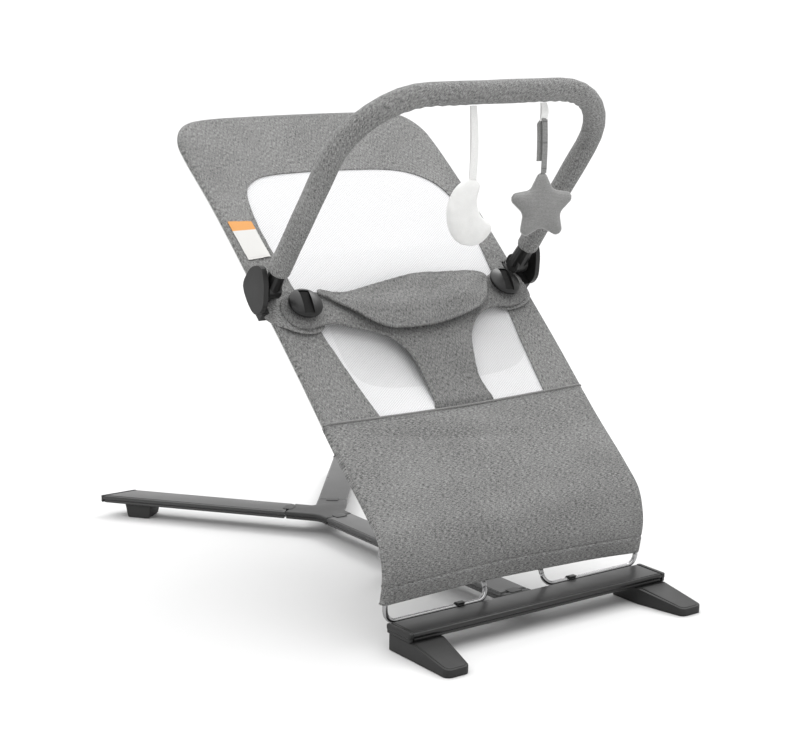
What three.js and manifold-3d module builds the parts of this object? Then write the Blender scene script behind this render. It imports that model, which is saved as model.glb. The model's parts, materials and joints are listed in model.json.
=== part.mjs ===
// A folding baby bouncer seat: a flat bar base shaped like a Y, a chrome wire seat frame that
// reclines on it, a propping hoop, a sewn sling cover with a soft harness, and a hinged toy bar.
// Millimetres. +Z is up, the sitter looks towards -Y, +X is on the right seen from the front.
import * as THREE from 'three';
import { mergeVertices } from 'three/addons/utils/BufferGeometryUtils.js';
import Module from 'manifold-3d';

const wasm = await Module();
wasm.setup();

// ---------------------------------------------------------------- driving dimensions
const GAP = 0.3;                 // clearance between neighbouring pieces
const WALL = 1.6;                // wall of the flat base tubes

// Base. The crossbar lies along X with its middle at y = 0.
const CROSSBAR_LENGTH = 400;
const CROSSBAR_WIDTH = 48;
const CROSSBAR_TOP = 32.5;
const CROSSBAR_HEIGHT = 11;
const BAR_WIDTH = 43.5;          // stem and rear legs
const BAR_TOP = 31;
const BAR_HEIGHT = 11;
const HUB_Y = 453;               // where the stem meets the two rear legs
const LEG_LENGTH = 322;
const LEG_SPLAY = THREE.MathUtils.degToRad(38.6);
const LEG_CAP = 3;
const FOOT_TIP_Y = -93;
const FOOT_WIDTH = 47;
const FOOT_REAR_Y = 21;

// Wire frame. It turns about the straight runs that lie in the clips behind the crossbar.
const WIRE_RADIUS = 3.25;
const HINGE_Y = 30;
const HINGE_Z = 30;
const RAIL_X = 197;
const CENTRE_WIRE_X = 45;
const WIRE_BEND = 15;
const CLIP_X = 88;
const CLIP_HALF_WIDTH = 5;
const CLIP_RADIUS = 5.4;

// Propping hoop: the pivot on the stem, and the arm length that equals hinge to pivot, so the
// hoop's top rides up the centre wires at exactly twice the seat's turn.
const PROP_Y = 230;
const PROP_Z = 42;
const PROP_ARM = Math.hypot(PROP_Y - HINGE_Y, PROP_Z - HINGE_Z);
const PROP_RADIUS = 5;
const PROP_HALF_WIDTH = 62;
const PROP_BEND = 12;
const CENTRE_WIRE_SLOPE = THREE.MathUtils.degToRad(50);
const BACK_BAR_REACH = 495;      // hinge to the back bar, along the centre wires
const BACK_BAR_RADIUS = 4;

// Sling cover.
const COVER_HALF_WIDTH = 204;
const COVER_THICKNESS = 4;
const CROWN_DEPTH = 62;          // length of the rounded head corners
const SEAM = 520;                // from the head edge down to the leg panel's seam
const COVER_LENGTH = 760;
const MESH_TOP = 118;
const MESH_TOP_HALF = 163;
const MESH_LOW_HALF = 129;
const MESH_CORNER = 52;

// Toy bar.
const BAR_HINGE_Y = 282;
const BAR_HINGE_Z = 391;
const BAR_ANGLE = THREE.MathUtils.degToRad(128.6);
const BAR_REACH = 313;
const BAR_LEG_X = 196;
const BAR_CORNER = 100;
const SLEEVE_RADIUS = 14.5;
const BAR_TUBE_RADIUS = 8;
const MOON_X = -38;
const STAR_X = 74;
const TOY_DROP = 140;            // bar centre to the middle of a toy
const RIBBON_WIDTH = 9;
const RIBBON_DEPTH = 2.8;
const STAR_RIBBON_DROP = 36;
const STAR_RADIUS = 49;

const ORIGIN_Y = (FOOT_TIP_Y + HUB_Y + LEG_LENGTH * Math.cos(LEG_SPLAY) + LEG_CAP) / 2;

// ---------------------------------------------------------------- finishes
const finish = (color, roughness, metalness = 0) =>
  new THREE.MeshStandardMaterial({ color, roughness, metalness });
const barPaint = finish(0x5f6062, 0.45, 0.3);
const charcoalPlastic = finish(0x47484a, 0.55);
const hubPlastic = finish(0x6d6e70, 0.5);
const blackPlastic = finish(0x2b2c2e, 0.4);
const rubber = finish(0x333436, 0.85);
const chrome = finish(0xd9dbdd, 0.15, 1);
const steel = finish(0x8d9092, 0.35, 0.9);
const greyFabric = finish(0x7d7d7b, 0.95);
const darkFabric = finish(0x6f6f6e, 0.95);
const meshFabric = finish(0xeeeeec, 0.9);
const liningFabric = finish(0xdcdcda, 0.9);
const whitePlush = finish(0xf1f1ee, 0.95);
const greyPlush = finish(0x858683, 0.9);
const ribbonWhite = finish(0xf5f5f3, 0.8);
const labelCloth = finish(0xf2efe8, 0.8);

// ---------------------------------------------------------------- scene graph helpers
const bouncer = new THREE.Group();
const object = new THREE.Group();
object.position.y = -ORIGIN_Y;
bouncer.add(object);

function place(name, geometry, material, position = [0, 0, 0], parent = object) {
  const mesh = new THREE.Mesh(geometry, material);
  mesh.name = name;
  mesh.position.set(...position);
  parent.add(mesh);
  return mesh;
}

function pair(name, make, material) {
  place(`${name}_left`, make(-1), material);
  place(`${name}_right`, make(1), material);
}

// ---------------------------------------------------------------- solid helpers
function bodyOf(geometry) {
  const bare = geometry.clone();
  bare.deleteAttribute('normal');
  bare.deleteAttribute('uv');
  const merged = mergeVertices(bare, 1e-3);
  return new wasm.Manifold(new wasm.Mesh({
    numProp: 3,
    vertProperties: new Float32Array(merged.attributes.position.array),
    triVerts: new Uint32Array(merged.index.array),
  }));
}

function geometryOf(body) {
  const { vertProperties, triVerts } = body.getMesh();
  const geometry = new THREE.BufferGeometry();
  geometry.setAttribute('position', new THREE.BufferAttribute(vertProperties, 3));
  geometry.setIndex(new THREE.BufferAttribute(triVerts, 1));
  return geometry;
}

const cut = (geometry, ...tools) =>
  geometryOf(tools.reduce((body, tool) => body.subtract(bodyOf(tool)), bodyOf(geometry)));
const join = (geometry, ...others) =>
  geometryOf(others.reduce((body, other) => body.add(bodyOf(other)), bodyOf(geometry)));
const overlap = (a, b) => geometryOf(bodyOf(a).intersect(bodyOf(b)));

function box(width, depth, height, x, y, z) {
  return new THREE.BoxGeometry(width, depth, height).translate(x, y, z);
}

// A rod along X, its ends at x0 and x1.
function rodX(radius, x0, x1, y, z, sides = 20) {
  return new THREE.CylinderGeometry(radius, radius, x1 - x0, sides)
    .rotateZ(Math.PI / 2).translate((x0 + x1) / 2, y, z);
}

function polygon(radius, sides) {
  const points = [];
  for (let i = 0; i < sides; i += 1) {
    const angle = (i + 0.5) * 2 * Math.PI / sides;
    points.push(new THREE.Vector2(radius * Math.cos(angle), radius * Math.sin(angle)));
  }
  return points;
}

// A round bar of the given radius along a path.
function rodAlong(path, radius, steps, sides = 8, bore = 0) {
  const section = new THREE.Shape(polygon(radius, sides));
  if (bore > 0) section.holes.push(new THREE.Path(polygon(bore, sides).reverse()));
  return new THREE.ExtrudeGeometry(section, { extrudePath: path, steps });
}

const smoothPath = (points) => new THREE.CatmullRomCurve3(points, false, 'centripetal');

const ROUNDNESS = 0.55;          // makes a right-angled Bezier bend nearly circular

// Straight runs between the points, with a rounded bend at each one.
function bentPath(points, bend) {
  const path = new THREE.CurvePath();
  let from = points[0];
  for (let i = 1; i < points.length - 1; i += 1) {
    const corner = points[i];
    const back = points[i - 1].clone().sub(corner).setLength(bend);
    const on = points[i + 1].clone().sub(corner).setLength(bend);
    const start = corner.clone().add(back);
    const end = corner.clone().add(on);
    path.add(new THREE.LineCurve3(from, start));
    path.add(new THREE.CubicBezierCurve3(start, start.clone().lerp(corner, ROUNDNESS),
      end.clone().lerp(corner, ROUNDNESS), end));
    from = end;
  }
  path.add(new THREE.LineCurve3(from, points[points.length - 1]));
  return path;
}

function roundedBox(x0, x1, y0, y1, corner) {
  const shape = new THREE.Shape();
  shape.moveTo(x0 + corner, y0);
  shape.lineTo(x1 - corner, y0);
  shape.absarc(x1 - corner, y0 + corner, corner, -Math.PI / 2, 0);
  shape.absarc(x1 - corner, y1 - corner, corner, 0, Math.PI / 2);
  shape.absarc(x0 + corner, y1 - corner, corner, Math.PI / 2, Math.PI);
  shape.absarc(x0 + corner, y0 + corner, corner, Math.PI, Math.PI * 1.5);
  return shape;
}

function prism(shape, z0, z1, curveSegments = 4) {
  return new THREE.ExtrudeGeometry(shape, {
    depth: z1 - z0, bevelEnabled: false, curveSegments,
  }).translate(0, 0, z0);
}

// An outline in the YZ plane, drawn as (y, z), extruded along X from x0 to x1.
const TO_SIDE = new THREE.Matrix4().makeBasis(
  new THREE.Vector3(0, 1, 0), new THREE.Vector3(0, 0, 1), new THREE.Vector3(1, 0, 0));
function sideways(shape, x0, x1, curveSegments = 4) {
  return prism(shape, x0, x1, curveSegments).applyMatrix4(TO_SIDE);
}

// An outline in the XZ plane, drawn as (x, z), extruded along Y from y0 to y1.
function lengthways(shape, y0, y1, curveSegments = 4) {
  return prism(shape, -y1, -y0, curveSegments).rotateX(Math.PI / 2);
}

// ---------------------------------------------------------------- the seat's side view
// The sitting face runs from the head edge down the back, round the front and under.
const SEAT_LINE = new THREE.CatmullRomCurve3([
  [541, 588], [492, 550], [409, 485], [304, 392], [206, 302], [117, 215.5],
  [56, 161], [29, 132], [19, 98], [19, 79], [23, 59],
].map(([y, z]) => new THREE.Vector3(0, y, z)), false, 'centripetal');
SEAT_LINE.arcLengthDivisions = 800;
const SEAT_LENGTH = SEAT_LINE.getLength();

// The point at distance s from the head edge, raised off the sitting face.
function onSeat(s, raise = 0, x = 0) {
  const u = THREE.MathUtils.clamp(s / SEAT_LENGTH, 0, 1);
  const at = SEAT_LINE.getPointAt(u);
  const along = SEAT_LINE.getTangentAt(u);
  return new THREE.Vector3(x, at.y + raise * along.z, at.z - raise * along.y);
}

// A layer of cloth between two distances and two heights off the sitting face.
function layer(s0, s1, low, high, halfWidth, step = 34) {
  const count = Math.max(2, Math.round((s1 - s0) / step));
  const outline = [];
  for (let i = 0; i <= count; i += 1) outline.push(onSeat(s0 + (s1 - s0) * i / count, high));
  for (let i = count; i >= 0; i -= 1) outline.push(onSeat(s0 + (s1 - s0) * i / count, low));
  return sideways(new THREE.Shape(outline.map((p) => new THREE.Vector2(p.y, p.z))),
    -halfWidth, halfWidth);
}

// A flat outline drawn as (x, distance from the head edge), laid square to the seat at s.
function onSeatAt(s, shape, low, high, curveSegments = 5) {
  const along = SEAT_LINE.getTangentAt(s / SEAT_LENGTH);
  const at = onSeat(s);
  const basis = new THREE.Matrix4().makeBasis(
    new THREE.Vector3(1, 0, 0), along.clone().negate(), new THREE.Vector3(0, along.z, -along.y));
  return prism(shape, low, high, curveSegments)
    .applyMatrix4(new THREE.Matrix4().makeTranslation(0, s, 0))
    .applyMatrix4(basis).translate(at.x, at.y, at.z);
}

// A smooth closed edge through points given as (x, s), in the drawing plane of onSeatAt.
function softShape(points, pieces = 3) {
  const edge = new THREE.CatmullRomCurve3(
    points.map(([x, s]) => new THREE.Vector3(x, -s, 0)), true, 'centripetal');
  return new THREE.Shape(edge.getPoints(points.length * pieces).slice(0, -1)
    .map((p) => new THREE.Vector2(p.x, p.y)));
}

// ---------------------------------------------------------------- base
const CROSSBAR_LOW = CROSSBAR_TOP - CROSSBAR_HEIGHT;
const BAR_LOW = BAR_TOP - BAR_HEIGHT;
const END_CAP = 6;

function makeCrossbar() {
  const half = CROSSBAR_WIDTH / 2;
  const bead = 4;
  const outer = new THREE.Shape();
  outer.moveTo(-half + 3, CROSSBAR_LOW);
  outer.lineTo(half - 3, CROSSBAR_LOW);
  outer.absarc(half - 3, CROSSBAR_LOW + 3, 3, -Math.PI / 2, 0);
  outer.absarc(half - bead, CROSSBAR_TOP - bead, bead, 0, Math.PI / 2);
  outer.lineTo(half - bead - 1, CROSSBAR_TOP - 0.8);
  outer.lineTo(-half + bead + 1, CROSSBAR_TOP - 0.8);
  outer.absarc(-half + bead, CROSSBAR_TOP - bead, bead, Math.PI / 2, Math.PI);
  outer.absarc(-half + 3, CROSSBAR_LOW + 3, 3, Math.PI, Math.PI * 1.5);
  outer.holes.push(new THREE.Path(roundedBox(-half + 5, half - 5,
    CROSSBAR_LOW + WALL, CROSSBAR_TOP - WALL - 1, 2).getPoints(2)));
  const reach = CROSSBAR_LENGTH / 2 - END_CAP - GAP;
  return sideways(outer, -reach, reach);
}

function makeCrossbarCap(side) {
  const end = CROSSBAR_LENGTH / 2;
  const half = CROSSBAR_WIDTH / 2;
  const outline = new THREE.Shape();
  outline.moveTo(end - END_CAP, -half);
  outline.lineTo(end - 2, -half);
  outline.quadraticCurveTo(end, -half, end, -half + 4);
  outline.lineTo(end, half - 6);
  outline.quadraticCurveTo(end, half, end - END_CAP, half);
  return prism(mirrored(outline, side), CROSSBAR_LOW, CROSSBAR_TOP);
}

// The same outline, flipped left to right when side is -1.
function mirrored(shape, side, divisions = 5) {
  const points = shape.getPoints(divisions).map((p) => new THREE.Vector2(p.x * side, p.y));
  return new THREE.Shape(side < 0 ? points.reverse() : points);
}

// A wedge: deep under the crossbar, falling to a low rounded toe in front of it.
function makeFrontFoot(side) {
  const outer = CROSSBAR_LENGTH / 2 - 2;
  const inner = outer - FOOT_WIDTH;
  const top = CROSSBAR_LOW - GAP;
  const profile = new THREE.Shape();
  profile.moveTo(FOOT_REAR_Y, 0);
  profile.lineTo(FOOT_REAR_Y, top);
  profile.lineTo(-CROSSBAR_WIDTH / 2 - 1, top);
  profile.lineTo(FOOT_TIP_Y + 6, 10);
  profile.quadraticCurveTo(FOOT_TIP_Y, 9, FOOT_TIP_Y, 4);
  profile.lineTo(FOOT_TIP_Y + 1.5, 0);
  const plan = new THREE.Shape();
  plan.moveTo(inner, FOOT_REAR_Y);
  plan.lineTo(inner, -CROSSBAR_WIDTH / 2);
  plan.lineTo(inner + 12, FOOT_TIP_Y + 7);
  plan.quadraticCurveTo(inner + 13, FOOT_TIP_Y, inner + 21, FOOT_TIP_Y);
  plan.lineTo(outer - 8, FOOT_TIP_Y);
  plan.quadraticCurveTo(outer, FOOT_TIP_Y, outer, FOOT_TIP_Y + 8);
  plan.lineTo(outer, FOOT_REAR_Y);
  return overlap(sideways(profile, -outer - 1, outer + 1), prism(mirrored(plan, side), -1, top + 1));
}

function flatTube(halfWidth, low, high, bore) {
  const section = roundedBox(-halfWidth, halfWidth, low, high, 3);
  if (bore) {
    section.holes.push(new THREE.Path(roundedBox(-halfWidth + WALL, halfWidth - WALL,
      low + WALL, high - WALL, 1.5).getPoints(2)));
  }
  return section;
}

const COLLAR_START = CROSSBAR_WIDTH / 2 + GAP;
const COLLAR_END = 34;
const HUB_STEM_ARM = 27;         // from the hub's middle to the seam with the stem
const HUB_LEG_ARM = 58;
const SPIGOT = 24;               // how far a moulded spigot reaches into a tube
const TAB = 9;                   // tongue of the moulding that laps over the tube

function makeStem() {
  return lengthways(flatTube(BAR_WIDTH / 2, BAR_LOW, BAR_TOP, true),
    COLLAR_END + GAP, HUB_Y - HUB_STEM_ARM - GAP, 2);
}

// A moulded joint as wide as the flat tube, with a spigot inside it and a tongue on top of it.
function tubeJoint(start, end) {
  const block = lengthways(flatTube(BAR_WIDTH / 2, BAR_LOW, BAR_TOP + 1, false), start, end, 2);
  const inset = WALL + GAP;
  const spigot = lengthways(flatTube(BAR_WIDTH / 2 - inset, BAR_LOW + inset, BAR_TOP - inset, false),
    end - 1, end + SPIGOT, 2);
  const tongue = box(18, TAB + 1, 1 - GAP, 0, end + (TAB - 1) / 2, BAR_TOP + (1 + GAP) / 2);
  return join(block, spigot, tongue);
}

function aim(geometry, angle) {
  return geometry.rotateZ(angle).translate(0, HUB_Y, 0);
}

// One rear leg: it leaves the hub at the splay angle and its end is cut square across Y.
function makeRearLeg(side) {
  const blank = aim(lengthways(flatTube(BAR_WIDTH / 2, BAR_LOW, BAR_TOP, true),
    HUB_LEG_ARM + GAP, LEG_LENGTH + BAR_WIDTH, 2), -side * LEG_SPLAY);
  const beyond = box(600, 200, 80, 0, LEG_END_Y + 100, BAR_TOP);
  return cut(blank, beyond);
}

const LEG_END_Y = HUB_Y + LEG_LENGTH * Math.cos(LEG_SPLAY);
const LEG_END_X = LEG_LENGTH * Math.sin(LEG_SPLAY);

function makeRearLegCap(side) {
  const half = BAR_WIDTH / 2 / Math.cos(LEG_SPLAY);
  const slant = Math.tan(LEG_SPLAY) * LEG_CAP;
  const outline = new THREE.Shape();
  outline.moveTo(LEG_END_X - half, LEG_END_Y + GAP);
  outline.lineTo(LEG_END_X + half, LEG_END_Y + GAP);
  outline.lineTo(LEG_END_X + half, LEG_END_Y + LEG_CAP);
  outline.lineTo(LEG_END_X - half + slant, LEG_END_Y + LEG_CAP);
  return prism(mirrored(outline, side), BAR_LOW, BAR_TOP);
}

function makeRearFoot(side) {
  const profile = new THREE.Shape();
  profile.moveTo(LEG_LENGTH - 58, BAR_LOW - GAP);
  profile.lineTo(LEG_LENGTH - 52, 0);
  profile.lineTo(LEG_LENGTH - 20, 0);
  profile.lineTo(LEG_LENGTH - 16, BAR_LOW - GAP);
  return aim(sideways(profile, -17, 17), -side * LEG_SPLAY);
}

// Three moulded joints that meet in the middle: one for the stem, two for the rear legs.
function makeHub() {
  return join(aim(tubeJoint(0, HUB_STEM_ARM), Math.PI),
    aim(tubeJoint(0, HUB_LEG_ARM), LEG_SPLAY), aim(tubeJoint(0, HUB_LEG_ARM), -LEG_SPLAY));
}

// A narrow moulded loop that holds the hinge run against the back of the crossbar.
function makeWireClip(side) {
  const middle = side * CLIP_X;
  const shell = new THREE.Shape();
  shell.moveTo(COLLAR_START, HINGE_Z - CLIP_RADIUS);
  shell.absarc(HINGE_Y, HINGE_Z, CLIP_RADIUS, -Math.PI / 2, Math.PI / 2);
  shell.lineTo(COLLAR_START, HINGE_Z + CLIP_RADIUS);
  return cut(sideways(shell, middle - CLIP_HALF_WIDTH, middle + CLIP_HALF_WIDTH, 6),
    rodX(WIRE_RADIUS + 0.4, middle - 20, middle + 20, HINGE_Y, HINGE_Z, 16));
}

function makePropHousing() {
  const outline = new THREE.Shape();
  outline.moveTo(202, 17);
  outline.lineTo(258, 17);
  outline.lineTo(258, 44);
  outline.quadraticCurveTo(258, 56, 246, 56);
  outline.lineTo(222, 56);
  outline.quadraticCurveTo(206, 56, 202, 40);
  const stemSlot = lengthways(
    flatTube(BAR_WIDTH / 2 + GAP, BAR_LOW - GAP, BAR_TOP + GAP, false), 190, 270, 2);
  const shaftBore = rodX(4.4, -50, 50, PROP_Y, PROP_Z, 16);
  const buttonWell = box(24.8, 12.8, 9, 0, 244, 56);
  return cut(sideways(outline, -36, 36), stemSlot, shaftBore, buttonWell);
}

function makeReleaseButton() {
  return prism(roundedBox(-12, 12, 238, 250, 3), 55, 59.5, 3);
}

// A pan-head screw seen from below, with a slot across its head.
function makeScrew(x, y, low) {
  const head = new THREE.CylinderGeometry(4.5, 4, 2.4, 12).rotateX(Math.PI / 2)
    .translate(x, y, low - GAP - 1.2);
  return cut(head, box(12, 1.2, 1.2, x, y, low - GAP - 2.4));
}

const HUB_SCREWS = [['front', 0, HUB_Y - 12], ['left', -22, HUB_Y + 28], ['right', 22, HUB_Y + 28]];

function buildBase() {
  place('crossbar', makeCrossbar(), barPaint);
  pair('crossbar_cap', makeCrossbarCap, charcoalPlastic);
  pair('front_foot', makeFrontFoot, charcoalPlastic);
  place('stem', makeStem(), barPaint);
  place('stem_collar', tubeJoint(COLLAR_START, COLLAR_END), hubPlastic);
  place('y_hub', makeHub(), hubPlastic);
  pair('rear_leg', makeRearLeg, barPaint);
  pair('rear_leg_cap', makeRearLegCap, charcoalPlastic);
  pair('rear_foot', makeRearFoot, rubber);
  pair('wire_clip', makeWireClip, blackPlastic);
  place('prop_housing', makePropHousing(), blackPlastic);
  HUB_SCREWS.forEach(([name, x, y]) => place(`hub_screw_${name}`, makeScrew(x, y, BAR_LOW), steel));
  pair('housing_screw', (side) => makeScrew(side * 28, PROP_Y, 17), steel);
  place('release_button', makeReleaseButton(), charcoalPlastic);
}

// ---------------------------------------------------------------- wire frame
const RAIL_DROP = COVER_THICKNESS + GAP + WIRE_RADIUS + 0.3;

function makeCrownWire() {
  const points = [[-RAIL_X, 74], [-195, 50], [-184, 27], [-158, 13], [-90, 9.5]];
  const mirror = points.map(([x, s]) => [-x, s]).reverse();
  return rodAlong(smoothPath([...points, [0, 8.5], ...mirror]
    .map(([x, s]) => onSeat(s, -RAIL_DROP, x))), WIRE_RADIUS, 40);
}

function makeSideRail(side) {
  const points = [];
  for (let s = 76; s < 600; s += 87) points.push(onSeat(s, -RAIL_DROP, side * RAIL_X));
  for (let s = 620; s <= COVER_LENGTH; s += 20) points.push(onSeat(s, -RAIL_DROP, side * RAIL_X));
  return rodAlong(smoothPath(points), WIRE_RADIUS, 40);
}

// The centre wires run above the hoop's top bar, on a line that it can slide along.
function onCentreWire(x, reach) {
  const lift = WIRE_RADIUS + PROP_RADIUS + 0.4;
  const along = new THREE.Vector2(Math.cos(CENTRE_WIRE_SLOPE), Math.sin(CENTRE_WIRE_SLOPE));
  return new THREE.Vector3(x, HINGE_Y + reach * along.x - lift * along.y,
    HINGE_Z + reach * along.y + lift * along.x);
}

// From the rail's lower end down into the hinge run, inwards along it, and up the back.
function makeBaseWire(side) {
  const railX = side * RAIL_X;
  const centreX = side * CENTRE_WIRE_X;
  return rodAlong(bentPath([
    onSeat(COVER_LENGTH, -RAIL_DROP, railX).add(new THREE.Vector3(0, 0, -2)),
    new THREE.Vector3(railX, HINGE_Y, HINGE_Z),
    new THREE.Vector3(centreX, HINGE_Y, HINGE_Z),
    onCentreWire(centreX, 26),
    onCentreWire(centreX, BACK_BAR_REACH - BACK_BAR_RADIUS - GAP),
  ], WIRE_BEND), WIRE_RADIUS, 60);
}

// The cross member behind the shoulders, where the centre wires end.
function makeBackBar() {
  const at = onCentreWire(0, BACK_BAR_REACH);
  const reach = RAIL_X - WIRE_RADIUS - GAP;
  return rodX(BACK_BAR_RADIUS, -reach, reach, at.y, at.z, 12);
}

function buildFrame() {
  place('crown_wire', makeCrownWire(), chrome);
  pair('side_rail', makeSideRail, chrome);
  pair('base_wire', makeBaseWire, chrome);
  place('back_bar', makeBackBar(), chrome);
}

// ---------------------------------------------------------------- propping hoop
function buildProp() {
  const seatLine = CENTRE_WIRE_SLOPE;
  const baseLine = Math.atan2(PROP_Z - HINGE_Z, PROP_Y - HINGE_Y);
  const lean = baseLine + 2 * (seatLine - baseLine);
  const point = (x, reach) => new THREE.Vector3(x,
    PROP_Y + reach * Math.cos(lean), PROP_Z + reach * Math.sin(lean));
  const half = PROP_HALF_WIDTH;
  place('prop_hoop', rodAlong(bentPath([[half, -9], [half, PROP_ARM], [-half, PROP_ARM], [-half, -9]]
    .map(([x, reach]) => point(x, reach)), PROP_BEND), PROP_RADIUS, 36), chrome);
  place('prop_shaft', rodX(4, -half + PROP_RADIUS + GAP, half - PROP_RADIUS - GAP,
    PROP_Y, PROP_Z, 16), steel);
}

// ---------------------------------------------------------------- sling cover
function crownOutline() {
  const half = COVER_HALF_WIDTH;
  const outline = new THREE.Shape();
  outline.moveTo(-half, -COVER_LENGTH);
  outline.lineTo(half, -COVER_LENGTH);
  outline.lineTo(half, -CROWN_DEPTH);
  outline.bezierCurveTo(half - 2, -24, half - 18, -5, half - 56, -3);
  outline.quadraticCurveTo(0, 1, -half + 56, -3);
  outline.bezierCurveTo(-half + 18, -5, -half + 2, -24, -half, -CROWN_DEPTH);
  return outline;
}

function meshOutline(grow) {
  const top = MESH_TOP_HALF + grow;
  const low = MESH_LOW_HALF + grow;
  const corner = MESH_CORNER;
  const outline = new THREE.Shape();
  outline.moveTo(-low, -SEAM - 30);
  outline.lineTo(low, -SEAM - 30);
  outline.lineTo(low, -SEAM);
  outline.lineTo(top, -MESH_TOP - corner - 30);
  outline.bezierCurveTo(top, -MESH_TOP - 12, top - 30, -MESH_TOP - 4 + grow,
    top - corner - 20, -MESH_TOP + grow);
  outline.lineTo(-top + corner + 20, -MESH_TOP + grow);
  outline.bezierCurveTo(-top + 30, -MESH_TOP - 4 + grow, -top, -MESH_TOP - 12,
    -top, -MESH_TOP - corner - 30);
  outline.lineTo(-low, -SEAM);
  return outline;
}

const MIDDLE = 320;              // where the flat cutting outlines are laid square to the seat

// The cover is a sleeve: the rails lie between its face and this lining.
const LINING_HIGH = 12.3;
const LINING_LOW = 13.8;
const LINING_END = 742;
const LABEL_S = 232;
const NOTCH_INNER_X = 185;
const NOTCH_HIGH = 300;
const NOTCH_LOW = 362;

// Where the toy bar's brackets take hold of the bare rails, the cover's edges are notched.
function notch(side) {
  const middle = side * (NOTCH_INNER_X + 20);
  return onSeatAt(MIDDLE, roundedBox(middle - 20, middle + 20, -NOTCH_LOW, -NOTCH_HIGH, 5), -60, 60);
}

function buildCover() {
  const crown = onSeatAt(60, crownOutline(), -60, 60, 8);
  const opening = onSeatAt(MIDDLE, meshOutline(0), -60, 60, 6);
  const panel = onSeatAt(MIDDLE, meshOutline(-GAP), -60, 60, 6);
  const upper = overlap(layer(0, SEAM - GAP, -COVER_THICKNESS, 0, COVER_HALF_WIDTH), crown);
  place('seat_cover', cut(upper, opening, notch(1), notch(-1)), greyFabric);
  place('mesh_panel', overlap(layer(0, SEAM - 2 * GAP, -3, -1.2, COVER_HALF_WIDTH), panel), meshFabric);
  const lining = overlap(layer(9, LINING_END, -LINING_LOW, -LINING_HIGH, COVER_HALF_WIDTH), crown);
  place('rear_lining', cut(lining, onSeatAt(MIDDLE, meshOutline(6), -60, 60, 6),
    notch(1), notch(-1)), liningFabric);
  place('care_label', onSeatAt(LABEL_S, roundedBox(-199, -163, -LABEL_S - 31, -LABEL_S + 31, 1),
    0.6, 1.4, 2), labelCloth);
  place('leg_panel', layer(SEAM + 3.6, COVER_LENGTH, -COVER_THICKNESS, 0, COVER_HALF_WIDTH, 20),
    greyFabric);
  place('seam_piping', rodX(1.6, -COVER_HALF_WIDTH + 1, COVER_HALF_WIDTH - 1,
    onSeat(SEAM + 1.6, -1.4).y, onSeat(SEAM + 1.6, -1.4).z, 8), darkFabric);
}

// ---------------------------------------------------------------- harness
const HARNESS_S = 362;
const TAB_X = 158;
const DISC_S = HARNESS_S - 8;
const DISC_HEIGHT = 12.5;        // underside of the toggle discs above the seat

function harnessOutline() {
  return softShape([
    [-30, 516], [-32, 480], [-46, 432], [-84, 398], [-124, 383], [-155, 387], [-178, 376],
    [-183, 355], [-172, 334], [-148, 326], [-110, 338], [-60, 340], [0, 334], [60, 334],
    [112, 334], [148, 326], [172, 334], [183, 355], [178, 376], [155, 388], [128, 384],
    [98, 400], [72, 432], [60, 480], [58, 516], [14, 517],
  ], 2);
}

function flapOutline() {
  return softShape([
    [-92, 348], [-40, 331], [20, 323], [80, 322], [124, 330], [122, 362], [98, 388],
    [30, 406], [-36, 404], [-72, 386],
  ], 3);
}

// A short fabric tongue sewn to the cover's edge, under the end of the harness.
function makeSideTongue(side) {
  const outline = softShape([[134, 346], [150, 333], [168, 338], [178, 356], [172, 378],
    [150, 384], [136, 370]].map(([x, s]) => [side * x, s]), 2);
  const points = outline.getPoints();
  return cut(onSeatAt(HARNESS_S, side < 0 ? new THREE.Shape(points.reverse()) : outline, 1.2, 4.2),
    stalkHole(side));
}

function stalkHole(side) {
  return new THREE.CylinderGeometry(6.3, 6.3, 30, 16)
    .rotateX(Math.PI / 2).applyMatrix4(seatMatrix(DISC_S, 4, side * TAB_X));
}

function makeDisc(side) {
  const profile = [[0, 0], [20, 0], [22.5, 1.6], [22.5, 3.2], [17, 6.4], [8.5, 8.3], [0, 8.8]]
    .map(([r, h]) => new THREE.Vector2(r, h));
  const dome = new THREE.LatheGeometry(profile, 24);
  const slot = box(10, 4.4, 48, 0, 7.8, 0);
  return cut(dome, slot).rotateX(Math.PI / 2).rotateZ(side * 0.12);
}

function seatMatrix(s, raise, x) {
  const along = SEAT_LINE.getTangentAt(s / SEAT_LENGTH);
  const at = onSeat(s, raise, x);
  return new THREE.Matrix4().makeBasis(
    new THREE.Vector3(1, 0, 0), along.clone().negate(), new THREE.Vector3(0, along.z, -along.y))
    .setPosition(at);
}

function buildHarness() {
  pair('side_tongue', makeSideTongue, darkFabric);
  place('harness_body', cut(onSeatAt(HARNESS_S + 60, harnessOutline(), 5.5, 9),
    stalkHole(-1), stalkHole(1)), greyFabric);
  place('harness_flap', onSeatAt(HARNESS_S, flapOutline(), 12.5, 16), greyFabric);
  for (const side of [-1, 1]) {
    const name = side < 0 ? 'left' : 'right';
    const disc = place(`toggle_disc_${name}`, makeDisc(side), blackPlastic);
    disc.applyMatrix4(seatMatrix(DISC_S, DISC_HEIGHT, side * TAB_X));
    const anchor = place(`toggle_anchor_${name}`,
      new THREE.CylinderGeometry(5.5, 5.5, DISC_HEIGHT - 2 * GAP, 16).rotateX(Math.PI / 2), blackPlastic);
    anchor.applyMatrix4(seatMatrix(DISC_S, DISC_HEIGHT / 2, side * TAB_X));
  }
}

// ---------------------------------------------------------------- toy bar
const barDirection = new THREE.Vector2(Math.cos(BAR_ANGLE), Math.sin(BAR_ANGLE));
const onBar = (x, reach) => new THREE.Vector3(x,
  BAR_HINGE_Y + reach * barDirection.x, BAR_HINGE_Z + reach * barDirection.y);

function barPath(start) {
  const half = BAR_LEG_X;
  return bentPath([[half, start], [half, BAR_REACH], [-half, BAR_REACH], [-half, start]]
    .map(([x, reach]) => onBar(x, reach)), BAR_CORNER);
}

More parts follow.
